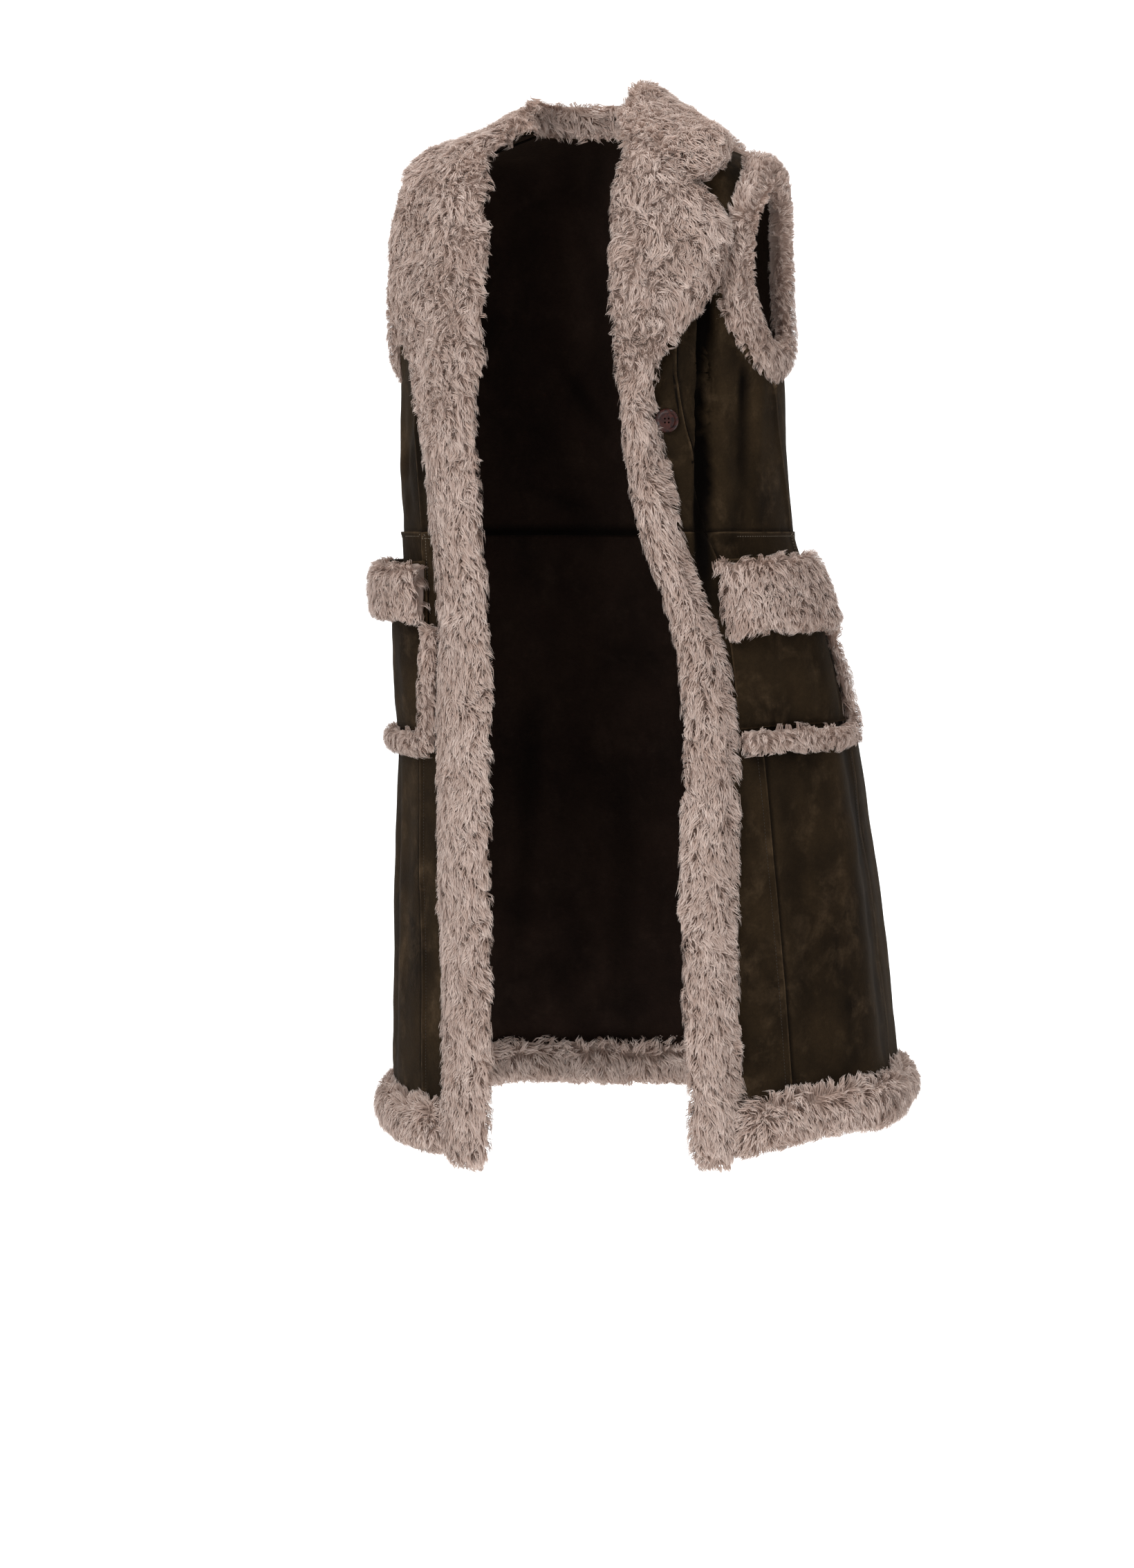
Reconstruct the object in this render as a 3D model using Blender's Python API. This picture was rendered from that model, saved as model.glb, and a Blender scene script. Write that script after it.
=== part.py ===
"""A long, open, sleeveless coat of suede-faced cloth with deep shearling pile trim, as worn.

The coat faces -Y, with the wearer's left at +X. The origin is the seat at the base of the neck,
where the wearer's shoulders carry it. Every piece lies on one hollow form, a stack of rounded
rings from neck to hem. A place on it is an angle round the wearer (0 at the centre front, positive
to the wearer's left, 180 at the centre back) and a height; a piece is moved out along the normal.
Lengths are in metres and angles in degrees.
"""

import math

import bpy
from mathutils import Vector

# Driving sizes
WALL = 0.0025  # suede-faced cloth
HALF_WALL = WALL / 2
SEAM_GAP = 0.0005  # between two pieces sewn edge to edge
SEAT_GAP = 0.0008  # between a piece and the panel it lies on
PILE = 0.021  # pile height that stands off the cloth on the front, hem and armholes
INNER_PILE = 0.008  # pile that shows on the inner side of a trim
WAIST_HEIGHT = -0.475
HEM_HEIGHT = -1.133  # lower edge of the cloth; the pile band goes on from there
HEM_BAND = 0.056
FOOT_DROP = {"left": 0.004, "right": 0.026}  # front trims end this far below the hem trim
SIDE_SEAM_ANGLE = 101.0
BREAK_HEIGHT = -0.318  # where the lapel starts to open
GORGE_HEIGHT = -0.020  # where the lapel meets the collar at the neck
LAPEL_POINT_HEIGHT = -0.120
NOTCH = {"angle": 45.0, "height": -0.083}  # inner corner between collar and lapel
LAPEL_UNDERLAP = 6.0  # degrees from the roll to the cloth edge behind it
GORGE_UNDERLAP = 5.0  # added at the neck, where the roll turns fastest
LAPEL_HOLD = 4.5  # degrees of the roll kept clear in front of that edge

# The form: one row for each ring, from above the neck to below the hem
FORM_COLUMNS = ("height", "centre_x", "centre_y", "half_width", "half_depth", "squareness")
FORM = (
    (0.015, 0.000, 0.014, 0.036, 0.046, 2.0),
    (0.000, 0.000, 0.012, 0.074, 0.072, 2.0),
    (-0.020, 0.000, 0.010, 0.139, 0.096, 2.1),
    (-0.045, 0.000, 0.008, 0.205, 0.113, 2.2),
    (-0.062, 0.000, 0.006, 0.223, 0.121, 2.3),
    (-0.100, 0.000, 0.004, 0.233, 0.131, 2.3),
    (-0.180, 0.000, 0.002, 0.234, 0.142, 2.3),
    (-0.280, 0.000, 0.004, 0.238, 0.149, 2.3),
    (-0.380, -0.003, 0.012, 0.240, 0.154, 2.3),
    (-0.475, -0.003, 0.026, 0.241, 0.163, 2.3),
    (-0.560, 0.006, 0.045, 0.256, 0.180, 2.2),
    (-0.680, 0.014, 0.066, 0.276, 0.206, 2.2),
    (-0.850, 0.019, 0.083, 0.295, 0.226, 2.1),
    (-1.000, 0.024, 0.093, 0.306, 0.238, 2.1),
    (-1.220, 0.029, 0.104, 0.318, 0.252, 2.1),
)

# Soft troughs and ridges: a fold's middle angle, its half width, the heights between which it
# runs, and how far it goes out (or in, where negative). One that runs to the hem stays open there.
FOLD_COLUMNS = ("angle", "spread", "top", "bottom", "depth")
FOLDS = (
    (56.0, 9.0, -0.165, -0.47, -0.024),
    (45.0, 7.0, -0.20, -0.46, 0.007),
    (-58.0, 9.0, -0.20, -0.46, -0.012),
    (78.0, 12.0, -0.50, -2.0, 0.008),
    (104.0, 11.0, -0.62, -2.0, -0.011),
    (128.0, 12.0, -0.52, -2.0, 0.013),
    (154.0, 13.0, -0.55, -2.0, -0.012),
    (180.0, 13.0, -0.50, -2.0, 0.014),
    (-152.0, 13.0, -0.58, -2.0, -0.013),
    (-127.0, 11.0, -0.52, -2.0, 0.012),
    (-101.0, 11.0, -0.64, -2.0, -0.010),
    (-74.0, 11.0, -0.60, -2.0, 0.006),
    (150.0, 14.0, -0.10, -0.50, -0.007),
    (-148.0, 15.0, -0.12, -0.50, -0.008),
    (180.0, 12.0, -0.14, -0.48, 0.006),
)

# Angles of the front lines at each height: the pile trim's inner and outer edges and the seam
# between the centre front and side front, on the wearer's left and right.
LINE_COLUMNS = ("height", "left_in", "left_out", "left_seam", "right_in", "right_out", "right_seam")
LINES = (
    (0.000, 38.0, 47.0, 62.0, 38.0, 47.0, 62.0),
    (-0.020, 34.0, 44.0, 58.0, 31.0, 41.0, 56.0),
    (-0.060, 23.5, 48.0, 52.0, 18.0, 44.0, 49.0),
    (-0.100, 23.0, 55.0, 49.0, 15.5, 50.0, 46.0),
    (-0.130, 23.0, 58.5, 47.0, 14.5, 54.0, 44.0),
    (-0.170, 23.2, 58.0, 45.5, 14.0, 54.0, 42.5),
    (-0.205, 23.4, 53.0, 44.0, 14.0, 51.5, 41.0),
    (-0.245, 23.8, 44.5, 43.0, 14.3, 47.0, 40.0),
    (-0.290, 24.5, 38.5, 42.5, 14.6, 42.0, 43.5),
    (-0.350, 26.0, 36.0, 44.5, 15.0, 37.5, 43.0),
    (-0.410, 28.0, 40.0, 48.0, 14.8, 34.5, 41.0),
    (-0.475, 30.5, 42.0, 51.5, 14.6, 32.7, 40.0),
    (-0.550, 33.5, 44.0, 53.5, 14.4, 32.0, 40.5),
    (-0.630, 34.6, 47.0, 54.5, 14.2, 31.5, 41.0),
    (-0.720, 33.4, 46.8, 54.5, 14.0, 30.8, 40.5),
    (-0.850, 31.0, 44.0, 54.2, 13.7, 29.7, 39.5),
    (-1.020, 29.6, 41.3, 54.0, 13.9, 28.4, 38.0),
    (-1.220, 29.2, 40.4, 54.0, 14.2, 28.2, 37.5),
)

# Armhole, centred on the shoulder line: the cloth's edge and the hole through the trim
ARMHOLE_ANGLE = 90.0
ARMHOLE_STATIONS = 24
ARMHOLE_CLOTH = {"top": -0.043, "bottom": -0.300, "spread": 32.0}
ARMHOLE_HOLE = {"top": -0.086, "bottom": -0.257, "spread": 17.0}

# Patch pockets, on the skirt's own rows and columns
POCKET_ROWS = (13, 19)
POCKET_COLUMNS = 8
POCKET_EDGES = {  # angles of the front side and the far side, at the foot and at the mouth
    "left": {"foot": (48.2, 94.5), "mouth": (51.5, 95.5)},
    "right": {"foot": (37.8, 86.0), "mouth": (38.2, 86.0)},
}
PIPED_FRONTS = ("right",)  # pockets whose front side shows piping
POCKET_PUFF = 0.015
POCKET_CUFF = {"left": 0.097, "right": 0.080}
CUFF_PILE = 0.026
CUFF_ABOVE = 0.005
PIPING_WIDTH = 0.021
PIPING_FALL = 0.030  # the pile under a pocket hangs longer than the pile beside it
PIPING_PILE = 0.015

# Collar: height of the stand, pile at its edge, and the outline of its outer edge
COLLAR_STAND = {"left": 0.078, "right": 0.064}
COLLAR_LEAN = 0.36  # how far the stand leans in to the neck as it rises
COLLAR_PILE = {"left": 0.023, "right": 0.015}
COLLAR_COLUMNS = ("angle", "edge_height")
COLLAR_OUTLINE = (
    (62.0, -0.050),
    (78.0, -0.032),
    (92.0, -0.029),
    (115.0, -0.042),
    (145.0, -0.076),
    (180.0, -0.090),
)

# Button on the wearer's left front
BUTTON_RADIUS = 0.0135
BUTTON_THICKNESS = 0.0042
BUTTON_RIM = 0.0013
BUTTON_HOLE_RADIUS = 0.0011
BUTTON_HOLE_SPREAD = 0.0031
BUTTON_ANGLE = 40.0
BUTTON_HEIGHT = -0.349

# Rows and columns of the panels
UPPER_ROWS_BELOW_ARMHOLE = 4
SHOULDER_HEIGHTS = (-0.036, -0.027, -0.018, -0.009, 0.0)
SKIRT_ROWS = 20
FOOT_SHARES = (0.0, 0.1, 0.3, 0.65)  # stations of the front trims below the hem of the cloth
LAPEL_ROWS = 13
SHOULDER_LIFT = 0.005  # lapel and collar bridge the bend of the shoulder by this much
COLLAR_ROWS = 30
CENTRE_COLUMNS = 4
SIDE_COLUMNS = 8
BACK_COLUMNS = 22

# Colours, as linear base colour, roughness and metallic value
SUEDE = ((0.040, 0.029, 0.019, 1.0), 0.78, 0.0)
PILE_COLOUR = ((0.52, 0.40, 0.34, 1.0), 0.95, 0.0)
HORN = ((0.030, 0.010, 0.008, 1.0), 0.22, 0.0)


def clear_scene():
    for item in list(bpy.data.objects):
        bpy.data.objects.remove(item, do_unlink=True)


def column(table, names, name):
    place = names.index(name)
    return [row[place] for row in table]


def smooth(keys, values, at):
    """Cubic curve through the values, with no overshoot, held level past its ends."""
    if keys[0] > keys[-1]:
        keys, values = keys[::-1], values[::-1]
    if at <= keys[0]:
        return values[0]
    if at >= keys[-1]:
        return values[-1]
    step = next(i for i in range(len(keys) - 1) if at <= keys[i + 1])

    def slope(i):
        if i == 0 or i == len(keys) - 1:
            j = min(i, len(keys) - 2)
            return (values[j + 1] - values[j]) / (keys[j + 1] - keys[j])
        before = (values[i] - values[i - 1]) / (keys[i] - keys[i - 1])
        after = (values[i + 1] - values[i]) / (keys[i + 1] - keys[i])
        if before * after <= 0:
            return 0.0
        return 2 * before * after / (before + after)

    width = keys[step + 1] - keys[step]
    t = (at - keys[step]) / width
    start, end = values[step], values[step + 1]
    lean_in, lean_out = slope(step) * width, slope(step + 1) * width
    return (
        start * (1 - t) ** 2 * (1 + 2 * t)
        + lean_in * t * (1 - t) ** 2
        + end * t**2 * (3 - 2 * t)
        - lean_out * t**2 * (1 - t)
    )


def form_value(name, height):
    keys = column(FORM, FORM_COLUMNS, "height")
    return smooth(keys, column(FORM, FORM_COLUMNS, name), height)


def line_angle(side, name, height):
    """Signed angle of a front line: side is 1 on the wearer's left and -1 on the right."""
    whole = ("left_" if side > 0 else "right_") + name
    keys = column(LINES, LINE_COLUMNS, "height")
    return side * smooth(keys, column(LINES, LINE_COLUMNS, whole), height)


def eased(t):
    t = min(max(t, 0.0), 1.0)
    return t * t * (3 - 2 * t)


def fold_depth(angle, height):
    total = 0.0
    for middle, spread, top, bottom, depth in FOLDS:
        away = abs((angle - middle + 180) % 360 - 180) / spread
        if away >= 1.5:
            continue
        run = min(0.22, 0.45 * (top - bottom))
        along = eased((top - height) / run) * eased((height - bottom) / run)
        total += depth * along * math.exp(-2.2 * away * away)
    return total


def form_centre(angle, height):
    """Point of the form at the middle of the cloth."""
    turn = math.radians(angle)
    side, front = math.sin(turn), math.cos(turn)
    power = form_value("squareness", height)
    reach = (abs(side) ** power + abs(front) ** power) ** (-1 / power)
    wide = form_value("half_width", height) * reach
    deep = form_value("half_depth", height) * reach
    fold = fold_depth(angle, height)
    x = form_value("centre_x", height) + (wide + fold) * side
    y = form_value("centre_y", height) - (deep + fold) * front
    return Vector((x, y, height))


def form_normal(angle, height):
    round_it = form_centre(angle + 0.6, height) - form_centre(angle - 0.6, height)
    up_it = form_centre(angle, height + 0.002) - form_centre(angle, height - 0.002)
    return round_it.cross(up_it).normalized()


def form_point(angle, height, out=0.0):
    return form_centre(angle, height) + form_normal(angle, height) * out


def degrees_for(length, angle, height):
    """How many degrees a length takes up round the form."""
    step = (form_centre(angle + 0.5, height) - form_centre(angle - 0.5, height)).length
    return length / step


def mix(a, b, t):
    return a + (b - a) * t


def material_of(name, look):
    material = bpy.data.materials.new(name)
    material.use_nodes = True
    shader = material.node_tree.nodes["Principled BSDF"]
    shader.inputs["Base Color"].default_value = look[0]
    shader.inputs["Roughness"].default_value = look[1]
    shader.inputs["Metallic"].default_value = look[2]
    material.diffuse_color = look[0]
    return material


def add_object(name, points, faces, look):
    mesh = bpy.data.meshes.new(name)
    mesh.from_pydata([tuple(point) for point in points], [], faces)
    mesh.update()
    item = bpy.data.objects.new(name, mesh)
    bpy.context.scene.collection.objects.link(item)
    mesh.materials.append(material_of(name, look))
    return item


def add_cloth(name, outer, inner, look):
    """Thin closed wall between two grids of points of the same rows and columns."""
    rows, columns = len(outer), len(outer[0])
    points = [point for row in outer for point in row]
    points += [point for row in inner for point in row]
    shift = rows * columns
    faces = []
    for r in range(rows - 1):
        for c in range(columns - 1):
            a, b = r * columns + c, r * columns + c + 1
            d, e = a + columns, b + columns
            faces.append((a, b, e, d))
            faces.append((a + shift, d + shift, e + shift, b + shift))
    rim = [c for c in range(columns)]
    rim += [r * columns + columns - 1 for r in range(1, rows)]
    rim += [(rows - 1) * columns + c for c in range(columns - 2, -1, -1)]
    rim += [r * columns for r in range(rows - 2, 0, -1)]
    for a, b in zip(rim, rim[1:] + rim[:1]):
        faces.append((b, a, a + shift, b + shift))
    return add_object(name, points, faces, look)


def add_loft(name, sections, look, closed=False):
    """Solid through closed sections of equal point count, capped unless it closes on itself.
    A section goes out along one side and back along the other, point for point."""
    count = len(sections[0])
    points = [point for section in sections for point in section]
    faces = []
    last = len(sections) if closed else len(sections) - 1
    for s in range(last):
        here, there = s * count, (s + 1) % len(sections) * count
        for i in range(count):
            j = (i + 1) % count
            faces.append((here + i, here + j, there + j, there + i))
    if not closed:
        end = last * count
        for i in range(count // 2 - 1):
            j = count - 1 - i
            faces.append((i, j, j - 1, i + 1))
            faces.append((end + i, end + i + 1, end + j - 1, end + j))
    item = add_object(name, points, faces, look)
    face_out(item)
    return item


def face_out(item):
    """Turns all faces round if the solid came out inside out."""
    mesh = item.data
    mesh.calc_loop_triangles()
    total = 0.0
    for triangle in mesh.loop_triangles:
        a, b, c = (mesh.vertices[i].co for i in triangle.vertices)
        total += a.dot(b.cross(c))
    if total < 0:
        mesh.flip_normals()


def armhole_point(oval, turn):
    """Angle from the armhole's middle, and height: turn is 0 at the bottom, 180 at the top."""
    middle = (oval["top"] + oval["bottom"]) / 2
    half = (oval["top"] - oval["bottom"]) / 2
    turn = math.radians(turn)
    return oval["spread"] * math.sin(turn), middle - half * math.cos(turn)


def armhole_turns():
    half = ARMHOLE_STATIONS // 2
    return [180.0 * i / half for i in range(half + 1)]


def upper_heights():
    """Rows that the upper panels share: waist, side seam, armhole and shoulder."""
    bottom = ARMHOLE_CLOTH["bottom"]
    low = WAIST_HEIGHT + SEAM_GAP / 2
    rows = [mix(low, bottom, i / UPPER_ROWS_BELOW_ARMHOLE) for i in range(UPPER_ROWS_BELOW_ARMHOLE)]
    rows += [armhole_point(ARMHOLE_CLOTH, turn)[1] for turn in armhole_turns()]
    return rows + list(SHOULDER_HEIGHTS)


def side_angle(height):
    """Side seam below the armhole, drifting to the back, and shoulder seam above it."""
    drift = eased((ARMHOLE_CLOTH["bottom"] - height) / (ARMHOLE_CLOTH["bottom"] - WAIST_HEIGHT))
    return mix(ARMHOLE_ANGLE, SIDE_SEAM_ANGLE, drift)


def armhole_cut(height):
    """Half width of the armhole in the cloth at a height, in degrees."""
    top, bottom = ARMHOLE_CLOTH["top"], ARMHOLE_CLOTH["bottom"]
    along = (height - (top + bottom) / 2) / ((top - bottom) / 2)
    return ARMHOLE_CLOTH["spread"] * math.sqrt(max(0.0, 1 - along * along))


def front_edge(side, height):
    """Front edge of the cloth: beside the trim, and behind the roll of the lapel above the break."""
    if height > BREAK_HEIGHT:
        under = LAPEL_UNDERLAP + GORGE_UNDERLAP * eased((height + 0.065) / 0.04)
        return line_angle(side, "in", height) + side * under
    return line_angle(side, "out", height)


def upper_columns(side, piece, height):
    """Angles at which a row of an upper front panel has its points."""
    seam = line_angle(side, "seam", height)
    if piece == "centre":
        start, end, count = front_edge(side, height), seam, CENTRE_COLUMNS
    else:
        start, end, count = seam, side * (side_angle(height) - armhole_cut(height)), CENTRE_COLUMNS
    nudge = side * degrees_for(SEAM_GAP / 2, start, height)
    start, end = start + nudge, end - nudge
    return [mix(start, end, i / count) for i in range(count + 1)]


def skirt_height(row, angle):
    """Height of a skirt row. The hem is lifted on the wearer's left, where the hand rests, and
    hangs a little lower on the right front."""
    angle = (angle + 180) % 360 - 180
    lift = 0.028 * eased((angle - 22) / 45) * eased((160 - angle) / 50)
    lift -= 0.014 * eased((-angle - 10) / 25) * eased((100 + angle) / 35)
    top, bottom = WAIST_HEIGHT - SEAM_GAP / 2, HEM_HEIGHT + lift
    return mix(bottom, top, row / SKIRT_ROWS)


def skirt_columns(side, piece, row):
    """Angles at which a row of a skirt panel has its points."""
    height = skirt_height(row, 0.0)
    if piece == "centre":
        start, end, count = (
            line_angle(side, "out", height),
            line_angle(side, "seam", height),
            CENTRE_COLUMNS,
        )
    else:
        start, end, count = (
            line_angle(side, "seam", height),
            side * SIDE_SEAM_ANGLE,
            SIDE_COLUMNS,
        )
    nudge = side * degrees_for(SEAM_GAP / 2, start, height)
    start, end = start + nudge, end - nudge
    return [mix(start, end, i / count) for i in range(count + 1)]


def add_panel(name, places):
    """Cloth wall through a grid of (angle, height) places, rows going up."""
    if places[0][0][0] > places[0][-1][0]:
        places = [row[::-1] for row in places]
    outer = [[form_point(angle, height, HALF_WALL) for angle, height in row] for row in places]
    inner = [[form_point(angle, height, -HALF_WALL) for angle, height in row] for row in places]
    item = add_cloth(name, outer, inner, SUEDE)
    face_out(item)


def add_upper_panels():
    heights = upper_heights()
    for side, word in ((1, "left"), (-1, "right")):
        for piece in ("centre", "side"):
            places = []
            for height in heights:
                places.append([(a, height) for a in upper_columns(side, piece, height)])
            add_panel(f"upper_{piece}_front_{word}", places)
    places = []
    for height in heights:
        edge = side_angle(height) + armhole_cut(height)
        edge += degrees_for(SEAM_GAP / 2, edge, height)
        end = 360 - edge
        row = [(mix(edge, end, i / BACK_COLUMNS), height) for i in range(BACK_COLUMNS + 1)]
        places.append(row)
    add_panel("upper_back", places)


def skirt_places(side, piece):
    places = []
    for row in range(SKIRT_ROWS + 1):
        angles = skirt_columns(side, piece, row)
        places.append([(angle, skirt_height(row, angle)) for angle in angles])
    return places


def back_skirt_places():
    places = []
    for row in range(SKIRT_ROWS + 1):
        nudge = degrees_for(SEAM_GAP / 2, SIDE_SEAM_ANGLE, skirt_height(row, 0.0))
        start = SIDE_SEAM_ANGLE + nudge
        angles = [mix(start, 360 - start, i / BACK_COLUMNS) for i in range(BACK_COLUMNS + 1)]
        places.append([(angle, skirt_height(row, angle)) for angle in angles])
    return places


def add_skirt_panels():
    for side, word in ((1, "left"), (-1, "right")):
        for piece in ("centre", "side"):
            add_panel(f"skirt_{piece}_front_{word}", skirt_places(side, piece))
    add_panel("skirt_back", back_skirt_places())


def round_section(low, high, points=12, power=2.6):
    """Rounded section as (across 0 to 1, out) pairs, widest at the cloth."""
    section = []
    for i in range(points):
        turn = 2 * math.pi * (i + 0.5) / points
        flat, rise = math.cos(turn), math.sin(turn)
        across = 0.5 - 0.5 * math.copysign(abs(flat) ** (2 / power), flat)
        share = abs(rise) ** (2 / power)
        section.append((across, (high if rise > 0 else low) * share))
    return section


def across_path(path, t):
    """Place at a share t along a station's path of two or three (angle, height) places."""
    if len(path) == 2:
        (angle, height), (angle_end, height_end) = path
        return mix(angle, angle_end, t), mix(height, height_end, t)
    if t < 0.5:
        return across_path(path[:2], 2 * t)
    return across_path(path[1:], 2 * t - 1)


def place_section(path, section):
    """Points of a section laid across the form along a path, kept clear of its seams."""
    width = (form_centre(*path[0]) - form_centre(*path[-1])).length
    inset = SEAM_GAP / width
    points = []
    for across, out in section:
        angle, height = across_path(path, mix(inset, 1 - inset, across))
        points.append(form_point(angle, height, out))
    return points


def trim_top(outer_height):
    """Upper side of a front trim: pile over its width, from the roll to the outer edge."""
    section = []
    for i in range(9):
        across = 0.5 - 0.5 * math.cos(math.pi * i / 8)
        bulge = (1 - abs(2 * across - 1) ** 3.2) ** 0.6
        section.append((across, mix(outer_height * across, PILE + 0.3 * outer_height, bulge)))
    return section


def bar_section(thin=1.0):
    """Section of the front trim below the lapel, with as many points as roll_section."""
    section = [(across, thin * out) for across, out in trim_top(0.0)]
    for i in range(9):
        across = 0.99 - 0.97 * i / 8
        bulge = (1 - abs(2 * across - 1) ** 6) ** 0.5
        section.append((across, -INNER_PILE * thin * bulge))
    return section


def roll_section(share, lift=0.0):
    """Section of the front trim at the lapel. The pile wraps the cloth's edge, which lies past
    the given share of the width, and rests on the cloth from there on."""
    rest = HALF_WALL + 1.6 * SEAT_GAP + lift
    section = trim_top(rest + 0.4 * PILE)
    for i in range(6):
        section.append((mix(0.99, share, i / 5), rest + (0.002 if i == 0 else 0.0)))
    section.append((share, -0.6 * INNER_PILE))
    section.append((0.5 * share, -INNER_PILE))
    section.append((0.2 * share, -0.5 * INNER_PILE))
    return section


def lapel_path(side, share):
    """Station across the lapel: share is 0 at the break and 1 at the gorge."""
    inner = mix(BREAK_HEIGHT, GORGE_HEIGHT, share)
    outer = mix(BREAK_HEIGHT, LAPEL_POINT_HEIGHT, share)
    start = (line_angle(side, "in", inner), inner)
    end = (line_angle(side, "out", outer), outer)
    if share < 1:
        return start, end
    return start, (side * NOTCH["angle"], NOTCH["height"]), end


def cloth_share(side, path):
    """Share of a lapel station at which the cloth's front edge comes up behind it."""
    for i in range(1, 100):
        angle, height = across_path(path, i / 100)
        if side * angle > side * front_edge(side, height) - LAPEL_HOLD:
            return (i - 1) / 100
    return 0.99


def trim_stations(side):
    """(path, section) of each station of a front trim, going up."""
    stations = []
    foot = HEM_HEIGHT - HEM_BAND - FOOT_DROP["left" if side > 0 else "right"]
    for part in FOOT_SHARES:
        height = mix(foot, HEM_HEIGHT, part)
        pinch = max(0.0, 1 - part / 0.45) ** 2
        start, end = line_angle(side, "in", height), line_angle(side, "out", height)
        path = (
            (mix(start, end, 0.16 * pinch), height),
            (mix(end, start, 0.16 * pinch), height),
        )
        stations.append((path, bar_section(1 - 0.6 * pinch)))
    for row in range(SKIRT_ROWS + 1):
        height = skirt_height(row, 0.0)
        start, end = line_angle(side, "in", height), line_angle(side, "out", height)
        path = ((start, skirt_height(row, start)), (end, skirt_height(row, end)))
        stations.append((path, bar_section()))
    for height in upper_heights():
        if height > BREAK_HEIGHT:
            break
        start, end = line_angle(side, "in", height), line_angle(side, "out", height)
        stations.append((((start, height), (end, height)), bar_section()))
    stations[-1] = (stations[-1][0], roll_section(0.95))
    for i in range(1, LAPEL_ROWS + 1):
        path = lapel_path(side, i / LAPEL_ROWS)
        lift = SHOULDER_LIFT * eased((i / LAPEL_ROWS - 0.5) / 0.33)
        stations.append((path, roll_section(cloth_share(side, path), lift)))
    return stations


def add_front_trims():
    """Pile facing on each front edge, cut in one piece with the lapel."""
    for side, word in ((1, "left"), (-1, "right")):
        sections = [place_section(path, section) for path, section in trim_stations(side)]
        add_loft(f"front_trim_{word}", sections, PILE_COLOUR)


def add_hem_trim():
    angles = skirt_columns(1, "centre", 0)[:-1] + skirt_columns(1, "side", 0)[:-1]
    angles += [angle for angle, height in back_skirt_places()[0]]
    other = skirt_columns(-1, "centre", 0)[:-1] + skirt_columns(-1, "side", 0)[:-1]
    angles += [360 + angle for angle in other[::-1]]
    section = round_section(-0.010, PILE)
    sections = []
    for angle in angles:
        top = skirt_height(0, angle)
        sections.append(place_section(((angle, top), (angle, top - HEM_BAND)), section))
    add_loft("hem_trim", sections, PILE_COLOUR)


def add_armhole_trims():
    section = round_section(-INNER_PILE, 0.9 * PILE)
    turns = armhole_turns()
    ring = [(turn, -1) for turn in turns] + [(turn, 1) for turn in turns[-2:0:-1]]
    for side, word in ((1, "left"), (-1, "right")):
        sections = []
        for turn, way in ring:
            path = []
            for oval in (ARMHOLE_CLOTH, ARMHOLE_HOLE):
                away, height = armhole_point(oval, turn)
                path.append((side * (ARMHOLE_ANGLE + way * away), height))
            sections.append(place_section(path, section))
        add_loft(f"armhole_trim_{word}", sections, PILE_COLOUR, closed=True)


def collar_path(turn):
    """Station of the collar from the neck seam to its outer edge, and how far from the end it is.
    The turn goes from -1 at the wearer's left front end to 1 at the right one."""
    side = 1 if turn < 0 else -1
    away = 1 - abs(turn)  # 0 at a front end, 1 at the centre back
    neck_end = side * line_angle(side, "in", GORGE_HEIGHT) + 0.4
    neck = mix(neck_end, 180, away)
    edge = mix(COLLAR_OUTLINE[0][0], 180, away)
    keys = column(COLLAR_OUTLINE, COLLAR_COLUMNS, "angle")
    edge_height = smooth(keys, column(COLLAR_OUTLINE, COLLAR_COLUMNS, "edge_height"), edge)
    neck_height = mix(GORGE_HEIGHT + 0.002, 0.0, eased((neck - neck_end) / 8.5))
    bend = max(0.0, 1 - away / 0.22) ** 2
    middle = (
        mix((neck + edge) / 2, NOTCH["angle"] + 0.5, bend),
        mix((neck_height + edge_height) / 2, NOTCH["height"] + 0.002, bend),
    )
    path = [(neck, neck_height), middle, (edge, edge_height)]
    if side < 0:
        path = [(360 - angle, height) for angle, height in path]
    return path, away


def collar_section(turn):
    """Stand and fall of the collar in one: the stand rises at the neck and the fall comes down
    over the shoulder to the outer edge, resting on the cloth."""
    path, away = collar_path(turn)
    rise = eased(away / 0.34)
    stand = mix(COLLAR_STAND["left"], COLLAR_STAND["right"], eased((turn + 1) / 2))
    pile = mix(COLLAR_PILE["left"], COLLAR_PILE["right"], eased((turn + 1) / 2))
    rest = HALF_WALL + SEAT_GAP + 0.0004
    up = Vector((0, 0, 1))
    points = []
    for i in range(9):
        t = 0.5 - 0.5 * math.cos(math.pi * i / 8)
        angle, height = across_path(path, t)
        normal = form_normal(angle, height)
        inward = Vector((-math.sin(math.radians(angle)), math.cos(math.radians(angle)), 0))
        lean = (up + inward * COLLAR_LEAN * (1 - t)).normalized()
        ahead = (normal * (1 - rise) + lean * rise).normalized()
        tall = mix(pile + 0.003, mix(stand, pile, t**0.6), rise)
        end = (1 - abs(2 * t - 1) ** 4.5) ** 0.45
        low = mix(0.012, mix(0.034, 0.008, min(1, 3 * t)), rise)
        points.append(form_centre(angle, height) + ahead * mix(low, tall, end))
    for i in range(8):
        t = 1 - i / 7 * 0.965
        angle, height = across_path(path, t)
        lift = mix(1.0, 0.6, rise) * SHOULDER_LIFT * eased(5 * (t - 0.04))
        points.append(form_point(angle, height, rest + lift))
    angle, height = across_path(path, 0.0)
    inward = Vector((-math.sin(math.radians(angle)), math.cos(math.radians(angle)), 0))
    points.append(form_centre(angle, height) + inward * 0.005 + up * 0.0045)
    return points


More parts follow.
